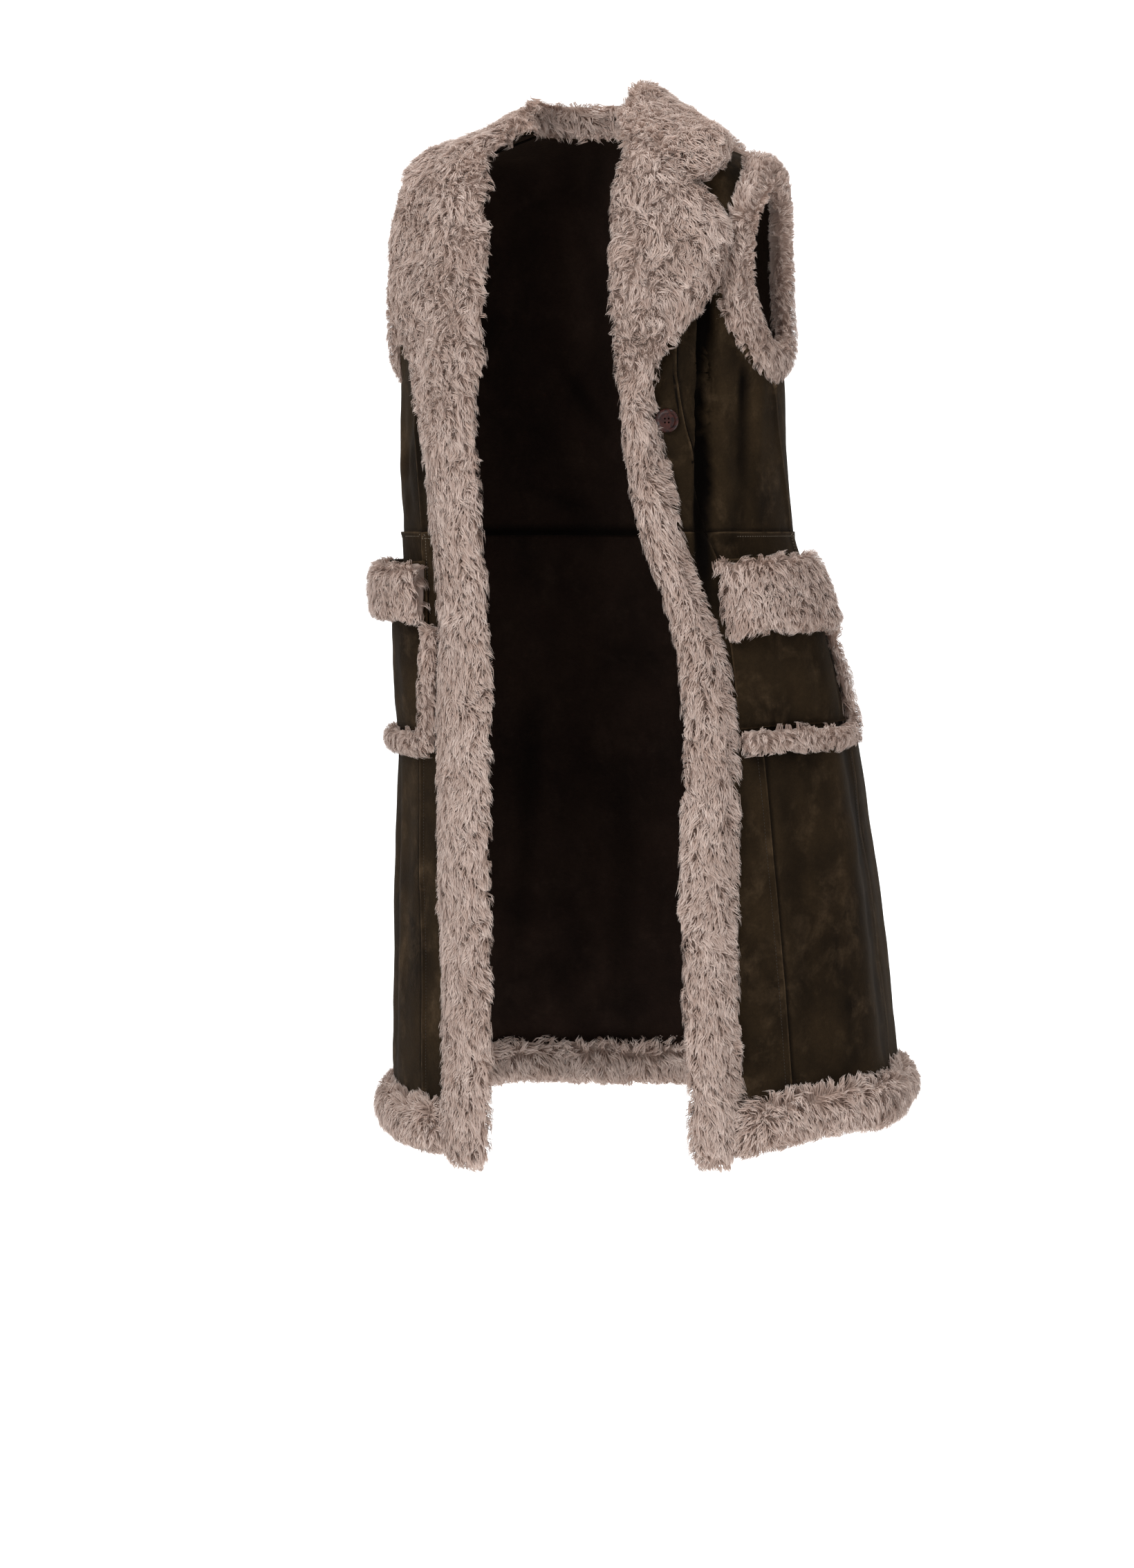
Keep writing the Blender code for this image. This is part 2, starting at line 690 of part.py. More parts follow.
def add_collar():
    shares = [-1 + 2 * i / COLLAR_ROWS for i in range(COLLAR_ROWS + 1)]
    turns = [math.copysign(1 - (1 - abs(share)) ** 1.3, share) for share in shares]
    add_loft("collar", [collar_section(turn) for turn in turns], PILE_COLOUR)


def pocket_angles(side, row):
    """Columns of a pocket, between its front side and its far side."""
    edges = POCKET_EDGES["left" if side > 0 else "right"]
    low, high = POCKET_ROWS
    up = (row - low) / (high - low)
    start = mix(edges["foot"][0], edges["mouth"][0], up)
    end = mix(edges["foot"][1], edges["mouth"][1], up)
    return [side * mix(start, end, i / POCKET_COLUMNS) for i in range(POCKET_COLUMNS + 1)]


def pocket_puff(across, up):
    """How far a pocket's cloth stands off the skirt."""
    return POCKET_PUFF * (1 - abs(2 * across - 1) ** 5) * min(1.0, up) ** 0.6


def add_pockets():
    low, high = POCKET_ROWS
    seat = HALF_WALL + SEAT_GAP
    for side, word in ((1, "left"), (-1, "right")):
        inner, outer = [], []
        for row in range(low, high + 1):
            angles = pocket_angles(side, row)
            if side < 0:
                angles = angles[::-1]
            inner_row, outer_row = [], []
            for i, angle in enumerate(angles):
                out = seat + pocket_puff(i / (len(angles) - 1), (row - low) / (high - low))
                height = skirt_height(row, angle) + (SEAM_GAP if row == low else 0.0)
                inner_row.append(form_point(angle, height, out))
                outer_row.append(form_point(angle, height, out + WALL))
            inner.append(inner_row)
            outer.append(outer_row)
        face_out(add_cloth(f"pocket_{word}", outer, inner, SUEDE))


def add_cuffs():
    """Deep pile cuff over the mouth of each pocket."""
    high = POCKET_ROWS[1]
    for side, word in ((1, "left"), (-1, "right")):
        angles = pocket_angles(side, high)
        ends = side * degrees_for(0.005, angles[-1], skirt_height(high, angles[-1]))
        angles = [angles[0] - 0.6 * ends] + angles[1:-1] + [angles[-1] + ends]
        sections = []
        for i, angle in enumerate(angles):
            across = i / (len(angles) - 1)
            top = skirt_height(high, angle) + CUFF_ABOVE
            near = HALF_WALL + SEAT_GAP + WALL + pocket_puff(across, 1.0)
            far = near + CUFF_PILE * (0.55 if i in (0, len(angles) - 1) else 1.0)
            section = [
                (share, mix(near, far, 0.5 + 0.5 * out))
                for share, out in round_section(-1.0, 1.0, power=3.0)
            ]
            foot = top - POCKET_CUFF[word]
            sections.append(place_section(((angle, top), (angle, foot)), section))
        add_loft(f"pocket_cuff_{word}", sections, PILE_COLOUR)


def piping_path(side, word):
    """Stations of a pocket's piping as (inner place, outer place), from the front side round the
    bottom to the far side. The wearer's left pocket shows none on its front side."""
    low, high = POCKET_ROWS
    under_cuff = POCKET_CUFF[word] - CUFF_ABOVE + 0.004
    top_row = high - under_cuff * SKIRT_ROWS / (WAIST_HEIGHT - HEM_HEIGHT)
    rows = [mix(low, top_row, i / 4) for i in range(5)]
    bottom = pocket_angles(side, low)
    wide = side * degrees_for(PIPING_WIDTH, bottom[-1], skirt_height(low, bottom[-1]))
    stations = []
    if word in PIPED_FRONTS:
        for row in rows[:0:-1]:
            angle = pocket_angles(side, row)[0]
            height = skirt_height(row, angle)
            stations.append(((angle, height), (angle - wide, height)))
        first = bottom[0]
        height = skirt_height(low, first)
        stations.append(((first, height), (first - wide, height - PIPING_FALL)))
    else:
        height = skirt_height(low, bottom[0])
        stations.append(((bottom[0], height), (bottom[0], height - PIPING_FALL)))
    for angle in bottom[1:-1]:
        height = skirt_height(low, angle)
        stations.append(((angle, height), (angle, height - PIPING_FALL)))
    height = skirt_height(low, bottom[-1])
    stations.append(((bottom[-1], height), (bottom[-1] + wide, height - PIPING_FALL)))
    for row in rows[1:]:
        angle = pocket_angles(side, row)[-1]
        height = skirt_height(row, angle)
        stations.append(((angle, height), (angle + wide, height)))
    return stations


def add_piping():
    seat = HALF_WALL + 1.4 * SEAT_GAP
    section = [
        (across, mix(seat, seat + PIPING_PILE, 0.4 + 0.6 * out if out > 0 else 0.4 + 0.4 * out))
        for across, out in round_section(-1.0, 1.0, points=10)
    ]
    for side, word in ((1, "left"), (-1, "right")):
        sections = [place_section(path, section) for path in piping_path(side, word)]
        add_loft(f"pocket_piping_{word}", sections, PILE_COLOUR)


def add_button():
    """Sewn four-hole button with a raised rim, lying on the wearer's left front."""
    half = BUTTON_THICKNESS / 2
    profile = (
        (0.0, -half),
        (0.80 * BUTTON_RADIUS, -half),
        (BUTTON_RADIUS, -0.3 * half),
        (BUTTON_RADIUS, 0.5 * half),
        (0.93 * BUTTON_RADIUS, half),
        (0.80 * BUTTON_RADIUS, half),
        (0.66 * BUTTON_RADIUS, half - BUTTON_RIM),
        (0.0, half - BUTTON_RIM),
    )
    segments = 36
    points, faces = [Vector((0, 0, profile[0][1]))], []
    for radius, rise in profile[1:-1]:
        for i in range(segments):
            turn = 2 * math.pi * i / segments
            points.append(Vector((radius * math.cos(turn), radius * math.sin(turn), rise)))
    points.append(Vector((0, 0, profile[-1][1])))
    rings = len(profile) - 2
    for i in range(segments):
        j = (i + 1) % segments
        faces.append((0, 1 + j, 1 + i))
        for ring in range(rings - 1):
            here, there = 1 + ring * segments, 1 + (ring + 1) * segments
            faces.append((here + i, here + j, there + j, there + i))
        top = 1 + (rings - 1) * segments
        faces.append((top + i, top + j, len(points) - 1))
    button = add_object("button", points, faces, HORN)
    face_out(button)
    for i in range(4):
        turn = math.pi / 4 + math.pi / 2 * i
        bpy.ops.mesh.primitive_cylinder_add(
            vertices=12, radius=BUTTON_HOLE_RADIUS, depth=3 * BUTTON_THICKNESS
        )
        drill = bpy.context.object
        drill.name = f"drill_{i}"
        drill.parent = button
        drill.location = (
            BUTTON_HOLE_SPREAD * math.cos(turn),
            BUTTON_HOLE_SPREAD * math.sin(turn),
            0,
        )
        drill.hide_render = True
        drill.display_type = "WIRE"
        hole = button.modifiers.new(f"hole_{i}", "BOOLEAN")
        hole.object = drill
        hole.solver = "EXACT"
        hole.operation = "DIFFERENCE"
    normal = form_normal(BUTTON_ANGLE, BUTTON_HEIGHT)
    lift = HALF_WALL + SEAT_GAP + 0.0006 + half
    button.location = form_centre(BUTTON_ANGLE, BUTTON_HEIGHT) + normal * lift
    button.rotation_mode = "QUATERNION"
    button.rotation_quaternion = normal.to_track_quat("Z", "Y")


def main():
    clear_scene()
    add_upper_panels()
    add_skirt_panels()
    add_front_trims()
    add_hem_trim()
    add_armhole_trims()
    add_collar()
    add_pockets()
    add_cuffs()
    add_piping()
    add_button()


main()
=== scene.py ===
"""Looks of the long faux shearling vest: napped suede-look cloth, deep curly pile trims, one button."""

import math

import bmesh
import bpy
import numpy as np
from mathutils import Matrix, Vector, noise
from mathutils.bvhtree import BVHTree
from mathutils.kdtree import KDTree


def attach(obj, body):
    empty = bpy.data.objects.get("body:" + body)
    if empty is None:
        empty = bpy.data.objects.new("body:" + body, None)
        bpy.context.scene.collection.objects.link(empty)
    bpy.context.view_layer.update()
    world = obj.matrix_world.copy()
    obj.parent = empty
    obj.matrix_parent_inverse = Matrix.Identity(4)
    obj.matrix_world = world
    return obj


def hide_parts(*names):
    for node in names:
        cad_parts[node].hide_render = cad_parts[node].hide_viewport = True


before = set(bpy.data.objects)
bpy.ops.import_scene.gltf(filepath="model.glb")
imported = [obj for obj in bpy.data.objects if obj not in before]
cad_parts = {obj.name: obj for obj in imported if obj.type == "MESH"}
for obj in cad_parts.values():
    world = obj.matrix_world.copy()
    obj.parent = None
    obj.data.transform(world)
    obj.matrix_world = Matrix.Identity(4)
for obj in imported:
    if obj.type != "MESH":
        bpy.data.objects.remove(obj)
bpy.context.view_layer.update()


# ---------------------------------------------------------------------------------------------
# Body panels. Eight fronts and two backs of bonded cloth: suede-look nap outside, a dark smooth
# fleece inside, its darkness painted shade, sewn edge to edge with a waist seam. Each is a thin shell on its
# solid's form.

PANEL_WALL = 0.0022
SEAM_LIP = 0.0018  # how far the upper panel of a lapped seam stands over the lower one
SEAM_TUCK = 0.0050  # how far the lower panel runs on under it
TRIM_TUCK = 0.0055  # how far the cloth's free edges run on into a trim
HEM_TUCK = 0.0100  # the same at the hem band
CLOTH_DARK = (0.0048, 0.0030, 0.0016, 1.0)
CLOTH_MID = (0.0225, 0.0140, 0.0070, 1.0)
CLOTH_SCUFF = (0.088, 0.057, 0.032, 1.0)
# the inner face's colours are kept dark as painted shade for the inside of the vest
INSIDE_SHADED_DARK = (0.0060, 0.0034, 0.0026, 1.0)
INSIDE_SHADED_MID = (0.0150, 0.0085, 0.0062, 1.0)
INSIDE_SHADED_SCUFF = (0.028, 0.017, 0.012, 1.0)
# painted shade: the near-black colour that deep crease troughs and the line under a seam's lip are darkened
# towards
PAINTED_FOLD_SHADE = (0.0012, 0.0008, 0.0006, 1.0)
CLOTH_SHEEN = (0.62, 0.45, 0.30, 1.0)
NAP_RELIEF = 0.0012
# width of the lighter band along panel edges: partly edge wear, partly a painted highlight of the seam edges
EDGE_WEAR_AND_HIGHLIGHT_WIDE = 0.0022
SEAM_NEAR = 0.004  # two panels are sewn together where their rims are within this
SEAM_SHADE = 0.0022  # how wide the shade under a lip is
LIP_WIDE = 0.0055
LOOSE_FROM = 0.022  # creases fade out over this much next to a panel's free edges
FOLD_SHADE_FROM = 0.0015  # depth from which a crease is darker
FOLD_SHADE_OVER = 0.0065

# Creases that the big folds of the solids leave out, each from a start to an end point near the
# cloth, in metres. A crease sinks in by its depth and swells beside itself by a third of it. The
# deep ones have a sharp brink on the side towards the front edge.
CREASE_COLUMNS = ("start", "end", "width", "depth")
BRINK_FROM = 0.0085  # depth from which a crease has its sharp brink
CREASE_FADE = 0.15  # share of its length by which a crease runs past its ends and fades
CREASES = (
    ((0.192, -0.084, -0.100), (0.191, -0.090, -0.540), 0.0135, 0.0200),
    ((0.226, -0.048, -0.200), (0.226, -0.048, -0.440), 0.0120, 0.0080),
    ((0.155, -0.105, -0.170), (0.150, -0.118, -0.300), 0.010, 0.0050),
    ((0.185, -0.095, -0.400), (0.222, -0.050, -0.455), 0.011, 0.0035),
    ((-0.205, -0.050, -0.310), (-0.190, -0.080, -0.440), 0.013, 0.0045),
    ((-0.180, -0.090, -0.340), (-0.215, -0.050, -0.450), 0.011, 0.0035),
    ((0.294, -0.012, -0.600), (0.300, -0.006, -0.692), 0.0080, -0.0050),
    ((0.276, -0.040, -0.610), (0.286, -0.034, -0.700), 0.0120, 0.0045),
    ((0.235, -0.075, -0.640), (0.270, -0.055, -0.700), 0.0140, 0.0030),
    ((-0.235, -0.075, -0.620), (-0.225, -0.085, -0.700), 0.0140, 0.0040),
    ((0.262, -0.030, -0.740), (0.290, -0.020, -1.120), 0.022, 0.0045),
    ((0.230, -0.080, -0.790), (0.240, -0.100, -1.130), 0.018, 0.0045),
    ((0.205, -0.095, -0.860), (0.196, -0.125, -1.130), 0.014, 0.0035),
    ((0.280, 0.080, -0.660), (0.330, 0.110, -1.130), 0.026, 0.0070),
    ((-0.245, -0.030, -0.760), (-0.262, -0.030, -1.140), 0.020, 0.0060),
    ((-0.215, -0.080, -0.800), (-0.222, -0.095, -1.140), 0.016, 0.0045),
    ((-0.262, 0.070, -0.660), (-0.290, 0.090, -1.140), 0.024, 0.0065),
    ((0.120, 0.140, -0.230), (0.060, 0.160, -0.330), 0.015, 0.0045),
    ((-0.120, 0.140, -0.250), (-0.050, 0.162, -0.360), 0.015, 0.0045),
    ((0.150, 0.145, -0.400), (0.070, 0.175, -0.440), 0.012, 0.0040),
    ((-0.160, 0.140, -0.420), (-0.080, 0.178, -0.450), 0.012, 0.0040),
    ((0.080, 0.300, -0.640), (0.110, 0.330, -1.060), 0.028, 0.0060),
    ((-0.090, 0.290, -0.660), (-0.115, 0.320, -1.080), 0.028, 0.0060),
    ((0.200, 0.230, -0.600), (0.240, 0.250, -1.000), 0.024, 0.0050),
    ((-0.190, 0.230, -0.620), (-0.220, 0.240, -1.010), 0.024, 0.0050),
)


def node_group(name, kind, inputs, outputs):
    """A node group with named inputs and outputs, each given with its socket's type."""
    tree = bpy.data.node_groups.new(name, kind)
    for flow, sockets in (("INPUT", inputs), ("OUTPUT", outputs)):
        for label, socket in sockets.items():
            tree.interface.new_socket(label, in_out=flow, socket_type="NodeSocket" + socket)
    return tree


def fill(tree, node, values):
    """Sets a node's inputs, by name or number, to plain values or to other nodes' outputs."""
    for label, value in values.items():
        if isinstance(value, bpy.types.NodeSocket):
            tree.links.new(value, node.inputs[label])
        else:
            node.inputs[label].default_value = value


def add_node(tree, kind, values=(), **settings):
    """A new node with its settings and its filled inputs."""
    node = tree.nodes.new(kind)
    for label, setting in settings.items():
        setattr(node, label, setting)
    fill(tree, node, dict(values))
    return node


def math_result(tree, kind, *values):
    return add_node(tree, "ShaderNodeMath", enumerate(values), operation=kind).outputs[0]


def new_material(name):
    """A material, its node tree and its shader."""
    made = bpy.data.materials.new(name)
    made.use_nodes = True
    return made, made.node_tree, made.node_tree.nodes["Principled BSDF"]


def attribute_output(tree, name, output):
    return add_node(tree, "ShaderNodeAttribute", attribute_name=name).outputs[output]


def suede_group():
    """Nap of suede-look cloth as colour, roughness and height: cloudy shade, scuffs, fine grain, and painted
    shade mixed in by its amount.
    """
    colours = dict.fromkeys(("Dark", "Mid", "Scuff", "Deep"), "Color")
    inputs = {**colours, "Edge": "Float", "PaintedShadeAmount": "Float"}
    outputs = {"Color": "Color", "Roughness": "Float", "Height": "Float"}
    tree = node_group("Suede nap", "ShaderNodeTree", inputs, outputs)
    given = tree.nodes.new("NodeGroupInput").outputs
    place = tree.nodes.new("ShaderNodeTexCoord").outputs["Object"]

    def cloud(scale, detail, rough, low, high, stretch=(1, 1, 1), twist=0.0):
        turn = add_node(tree, "ShaderNodeMapping", {"Vector": place, "Scale": stretch})
        made = add_node(tree, "ShaderNodeTexNoise", {"Vector": turn.outputs["Vector"], "Scale": scale})
        fill(tree, made, {"Detail": detail, "Roughness": rough, "Distortion": twist})
        return spanned(made.outputs["Fac"], low, high, 0.0, 1.0)

    def spanned(value, low, high, to_low, to_high):
        values = {"Value": value, "From Min": low, "From Max": high, "To Min": to_low, "To Max": to_high}
        return add_node(tree, "ShaderNodeMapRange", values).outputs["Result"]

    def blend(factor, low, high):
        return add_node(tree, "ShaderNodeMix", {0: factor, 6: low, 7: high}, data_type="RGBA").outputs[2]

    def plus(first, second):
        return math_result(tree, "ADD", first, second)

    def times(first, second):
        return math_result(tree, "MULTIPLY", first, second)

    shade = cloud(13.0, 5.0, 0.60, 0.32, 0.70, stretch=(1.0, 1.0, 0.75), twist=0.2)
    scuffs = cloud(24.0, 6.0, 0.70, 0.50, 0.80, stretch=(1.0, 1.0, 0.75), twist=0.3)
    specks = cloud(310.0, 3.0, 0.7, 0.35, 0.75)
    grain = cloud(620.0, 2.0, 0.6, 0.2, 0.8)
    rubs = cloud(46.0, 5.0, 0.65, 0.30, 0.75)
    # lighter near every panel edge: edge wear, and a painted highlight on the seam edges
    edge_wear_and_highlight = spanned(given["Edge"], 0.0, EDGE_WEAR_AND_HIGHLIGHT_WIDE, 0.75, 0.0)
    worn = plus(times(times(scuffs, rubs), 0.85), times(edge_wear_and_highlight, rubs))
    base = blend(worn, blend(shade, given["Dark"], given["Mid"]), given["Scuff"])
    flecked = blend(times(specks, 0.38), base, given["Dark"])
    dull = plus(times(shade, 0.12), 0.82)
    # the colour is darkened towards the painted shade colour by the painted shade amount
    fill(tree, tree.nodes.new("NodeGroupOutput"), {
        "Color": blend(given["PaintedShadeAmount"], flecked, given["Deep"]),
        "Roughness": math_result(tree, "SUBTRACT", dull, times(worn, 0.08)),
        "Height": plus(plus(times(grain, 0.30), times(specks, 0.35)), times(rubs, 0.8)),
    })
    return tree


SUEDE = suede_group()


def suede_material(name, dark, mid, scuff, sheen):
    """Cloth material from the nap group. The attribute edge_gap holds the way to the panel's edge,
    and the other attribute how far the cloth is darkened to painted shade, in deep creases and under seam
    lips."""
    made, tree, shader = new_material(name)
    nap = add_node(tree, "ShaderNodeGroup", node_tree=SUEDE)
    fill(tree, nap, {"Dark": dark, "Mid": mid, "Scuff": scuff, "Deep": PAINTED_FOLD_SHADE})
    for socket, label in (("Edge", "edge_gap"), ("PaintedShadeAmount", "painted_shade")):
        fill(tree, nap, {socket: attribute_output(tree, label, "Fac")})
    relief = {"Strength": 0.55, "Distance": NAP_RELIEF, "Height": nap.outputs["Height"]}
    fill(tree, shader, {
        "Base Color": nap.outputs["Color"],
        "Roughness": nap.outputs["Roughness"],
        "Normal": add_node(tree, "ShaderNodeBump", relief).outputs["Normal"],
        "Sheen Weight": sheen,
        "Sheen Roughness": 0.5,
        "Sheen Tint": CLOTH_SHEEN,
        "Specular IOR Level": 0.03,
    })
    return made


CLOTH_OUT = suede_material("suede_face", CLOTH_DARK, CLOTH_MID, CLOTH_SCUFF, 0.02)
CLOTH_IN = suede_material("inner_face", INSIDE_SHADED_DARK, INSIDE_SHADED_MID, INSIDE_SHADED_SCUFF, 0.04)


def node_mesh(node):
    """A merged bmesh of a CAD node, which comes as loose triangles."""
    mesh = bmesh.new()
    mesh.from_mesh(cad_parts[node].data)
    bmesh.ops.remove_doubles(mesh, verts=mesh.verts, dist=2e-5)
    return mesh


def outer_sheet(node, heart):
    """The outer skin of a thin solid: the faces joined smoothly to the one that looks most away
    from a point inside the garment."""
    mesh = node_mesh(node)
    mesh.normal_update()

    def away(face):
        return face.normal.dot((face.calc_center_median() - heart(face)).normalized()) * face.calc_area()

    start = max(mesh.faces, key=away)
    kept = {start}
    edge_of_growth = [start]
    while edge_of_growth:
        face = edge_of_growth.pop()
        for edge in face.edges:
            for other in edge.link_faces:
                if other not in kept and face.normal.dot(other.normal) > 0.45:
                    kept.add(other)
                    edge_of_growth.append(other)
    bmesh.ops.delete(mesh, geom=[f for f in mesh.faces if f not in kept], context="FACES")
    bmesh.ops.holes_fill(mesh, edges=[edge for edge in mesh.edges if edge.is_boundary], sides=4)
    bmesh.ops.join_triangles(
        mesh, faces=mesh.faces, angle_face_threshold=0.7, angle_shape_threshold=1.2
    )
    return mesh


def crease_shift(point):
    """How far the creases move a point of the cloth along its normal."""
    shift = 0.0
    for row in CREASES:
        crease = dict(zip(CREASE_COLUMNS, row))
        start, end = Vector(crease["start"]), Vector(crease["end"])
        line = end - start
        along = (point - start).dot(line) / line.length_squared
        if not -CREASE_FADE < along < 1 + CREASE_FADE:
            continue
        wander = 0.25 * crease["width"] * noise.noise(point * 22)
        aside = point - start - line * along
        gap = (aside.length + wander) / crease["width"]
        if crease["depth"] > BRINK_FROM and aside.x * start.x < 0:
            gap = max(0.0, gap - 0.35) * 2.6
        if gap > 4:
            continue
        run = min(1, max(0, (along + CREASE_FADE) / (1 + 2 * CREASE_FADE)))
        fade = max(0.0, math.sin(math.pi * run)) ** 0.7
        swell = 0.33 * math.exp(-((gap - 1.9) ** 2) / 0.9)
        shift += crease["depth"] * fade * (swell - math.exp(-(gap**2)))
    return shift


def finished_object(name, data):
    made = bpy.data.objects.new(name, data)
    bpy.context.scene.collection.objects.link(made)
    return made


def mesh_data(name, mesh):
    """The bmesh as mesh data. The bmesh itself is freed."""
    data = bpy.data.meshes.new(name)
    mesh.to_mesh(data)
    mesh.free()
    return data


def baked(item):
    """The object's evaluated mesh in place of its modifiers."""
    graph = bpy.context.evaluated_depsgraph_get()
    plain = bpy.data.meshes.new_from_object(item.evaluated_get(graph), depsgraph=graph)
    item.modifiers.clear()
    item.data = plain
    return item


def point_tree(points):
    tree = KDTree(len(points))
    for number, point in enumerate(points):
        tree.insert(point, number)
    tree.balance()
    return tree


def edge_points(mesh, every=0.003):
    """Points along the open edges of a bmesh."""
    points = []
    for edge in mesh.edges:
        if edge.is_boundary:
            first, last = edge.verts[0].co, edge.verts[1].co
            count = max(1, math.ceil((last - first).length / every))
            points += [first.lerp(last, i / count) for i in range(count)]
    return points


def smooth_sheet(node, heart, levels):
    """The outer skin of a cloth solid as one smooth sheet, and the points of its edges."""
    sheet = finished_object(node + "_cloth", mesh_data(node + "_cloth", outer_sheet(node, heart)))
    rounder = sheet.modifiers.new("rounder", "SUBSURF")
    rounder.levels = rounder.render_levels = levels
    rounder.boundary_smooth = "PRESERVE_CORNERS"
    baked(sheet)
    mesh = bmesh.new()
    mesh.from_mesh(sheet.data)
    points = edge_points(mesh)
    mesh.free()
    return sheet, points


def way_out(vertex):
    """The direction in the cloth from a rim vertex away from its panel."""
    inner = [edge.other_vert(vertex).co for edge in vertex.link_edges if not edge.is_boundary]
    middle = sum(inner, Vector()) / len(inner) if inner else vertex.link_faces[0].calc_center_median()
    way = vertex.co - middle
    rim = [edge.other_vert(vertex).co for edge in vertex.link_edges if edge.is_boundary]
    if len(rim) == 2:
        line = (rim[1] - rim[0]).normalized()
        way -= line * way.dot(line)
    way -= vertex.normal * way.dot(vertex.normal)
    return way.normalized()


def rim_lines(mesh, chosen):
    """The chosen rim vertices in the order in which they follow each other, one list a run."""
    left = dict.fromkeys(chosen)
    lines = []
    while left:
        line = [next(iter(left))]
        del left[line[0]]
        for end in (-1, 0):
            while True:
                steps = [e.other_vert(line[end]) for e in line[end].link_edges if e.is_boundary]
                steps = [vertex for vertex in steps if vertex in left]
                if not steps:
                    break
                del left[steps[0]]
                line.insert(len(line) if end else 0, steps[0])
        if len(line) > 5:
            lines.append(line)
    return lines


def in_order(mesh):
    """Puts a mesh's edges and faces in the order of their points, the same in every run."""
    mesh.verts.index_update()
    count = len(mesh.verts)

    def place(part):
        first, second, *more = sorted(vertex.index for vertex in part.verts)
        return (first * count + second) * count + (more[0] if more else 0)

    mesh.edges.sort(key=place)
    mesh.faces.sort(key=place)


def tucked(mesh, edges, length, drop):
    """Extra cloth beyond some rim edges, which runs on out of sight."""
    ways = {vertex: way_out(vertex) for edge in edges for vertex in edge.verts}
    made = bmesh.ops.extrude_edge_only(mesh, edges=edges)["geom"]
    for fresh in (item for item in made if isinstance(item, bmesh.types.BMVert)):
        root = next(e.other_vert(fresh) for e in fresh.link_edges if e.other_vert(fresh) in ways)
        fresh.co = root.co + ways[root] * length - root.normal * drop


TRIM_KINDS = ("front_trim_", "armhole_trim_", "pocket_cuff_", "pocket_piping_")
PILE_NODES = ["collar", "hem_trim"]
for word in ("left", "right"):
    PILE_NODES += [kind + word for kind in TRIM_KINDS]
trim_near = {}
for node in PILE_NODES:
    solid = node_mesh(node)
    trim_near[node] = BVHTree.FromBMesh(solid)
    solid.free()


def meets(tree, place):
    """Whether a place is at a seam with the rim whose points the tree holds."""
    return (tree.find(place)[2] or 1) < SEAM_NEAR


def cloth_shell(sheet, own_rim, over, under, wall, materials, ripple=0.0010, stitch_lay=None, runs_on=True):
    """Thin shell made from a smooth sheet, with its creases and a slight ripple. At a seam it lies
    over the panels whose rims are under, and is tucked below those whose rims are over. Returns
    the lines of its topstitching, each a list of place and normal pairs."""
    mesh = bmesh.new()
    mesh.from_mesh(sheet.data)
    mesh.normal_update()
    rim = point_tree(own_rim)
    sewn = {tuple(point) for point in own_rim if meets(over, point) or meets(under, point)}
    loose = point_tree([point for point in own_rim if tuple(point) not in sewn] or own_rim)
    gap_layer = mesh.verts.layers.float.new("edge_gap")
    shade_amount_layer = mesh.verts.layers.float.new("painted_shade")
    moves = []
    for vertex in mesh.verts:
        gap = rim.find(vertex.co)[2]
        vertex[gap_layer] = gap
        held = min(1.0, loose.find(vertex.co)[2] / LOOSE_FROM)
        wave = ripple * noise.fractal(vertex.co * 14, 1.0, 2.0, 3)
        crease = held * crease_shift(vertex.co)
        lap, hidden = under.find(vertex.co)[2], over.find(vertex.co)[2]
        # painted shade: a dark line on this panel under the lip of the panel over it, and darker cloth in
        # deep crease troughs
        painted_lip_shadow = math.exp(-((hidden / SEAM_SHADE) ** 2)) if hidden is not None else 0.0
        shade = min(0.96, max(0.0, (-crease - FOLD_SHADE_FROM) / FOLD_SHADE_OVER)) ** 0.8
        vertex[shade_amount_layer] = max(painted_lip_shadow, shade)
        lip = SEAM_LIP * math.exp(-((lap / LIP_WIDE) ** 4)) if lap is not None else 0.0
        moves.append(vertex.normal * (crease + held * wave + lip))
    for vertex, move in zip(mesh.verts, moves):
        vertex.co += move
    mesh.normal_update()

    rim_verts = [vertex for vertex in mesh.verts if vertex.is_boundary]
    lines = []
    if stitch_lay:
        skin = BVHTree.FromBMesh(mesh)
        for line in rim_lines(mesh, [vertex for vertex in rim_verts if meets(under, vertex.co)]):
            places = [skin.find_nearest(vertex.co - way_out(vertex) * stitch_lay) for vertex in line]
            lines.append([(spot, facing) for spot, facing, _, _ in places])
    open_edges = [edge for edge in mesh.edges if edge.is_boundary]
    below = {vertex for vertex in rim_verts if meets(over, vertex.co)}
    above = {vertex for vertex in rim_verts if meets(under, vertex.co)}
    tucked(mesh, [e for e in open_edges if all(v in below for v in e.verts)], SEAM_TUCK, wall + 0.0003)
    reaches = {}
    if runs_on:
        for vertex in set(rim_verts) - below - above:
            near = [name for name, tree in trim_near.items() if tree.find_nearest(vertex.co, 0.012)[0]]
            near = [] if "collar" in near else near
            reaches[vertex] = HEM_TUCK if "hem_trim" in near else TRIM_TUCK if near else 0.0
    for length in (TRIM_TUCK, HEM_TUCK):
        tucked(mesh, [e for e in open_edges if all(reaches.get(v) == length for v in e.verts)], length, 0.0)
    in_order(mesh)
    mesh.normal_update()
    mesh.to_mesh(sheet.data)
    mesh.free()
    for material in materials:
        sheet.data.materials.append(material)
    walls = sheet.modifiers.new("walls", "SOLIDIFY")
    walls.thickness = wall
    walls.offset = -1.0
    walls.material_offset = 1
    baked(sheet)
    sheet.data.shade_smooth()
    return lines


def body_heart(face):
    """A point on the garment's middle line, level with a face or just under the shoulders."""
    z = min(face.calc_center_median().z, -0.12)
    return Vector((0, 0.045 + max(0.0, -z - 0.45) * 0.11, z))


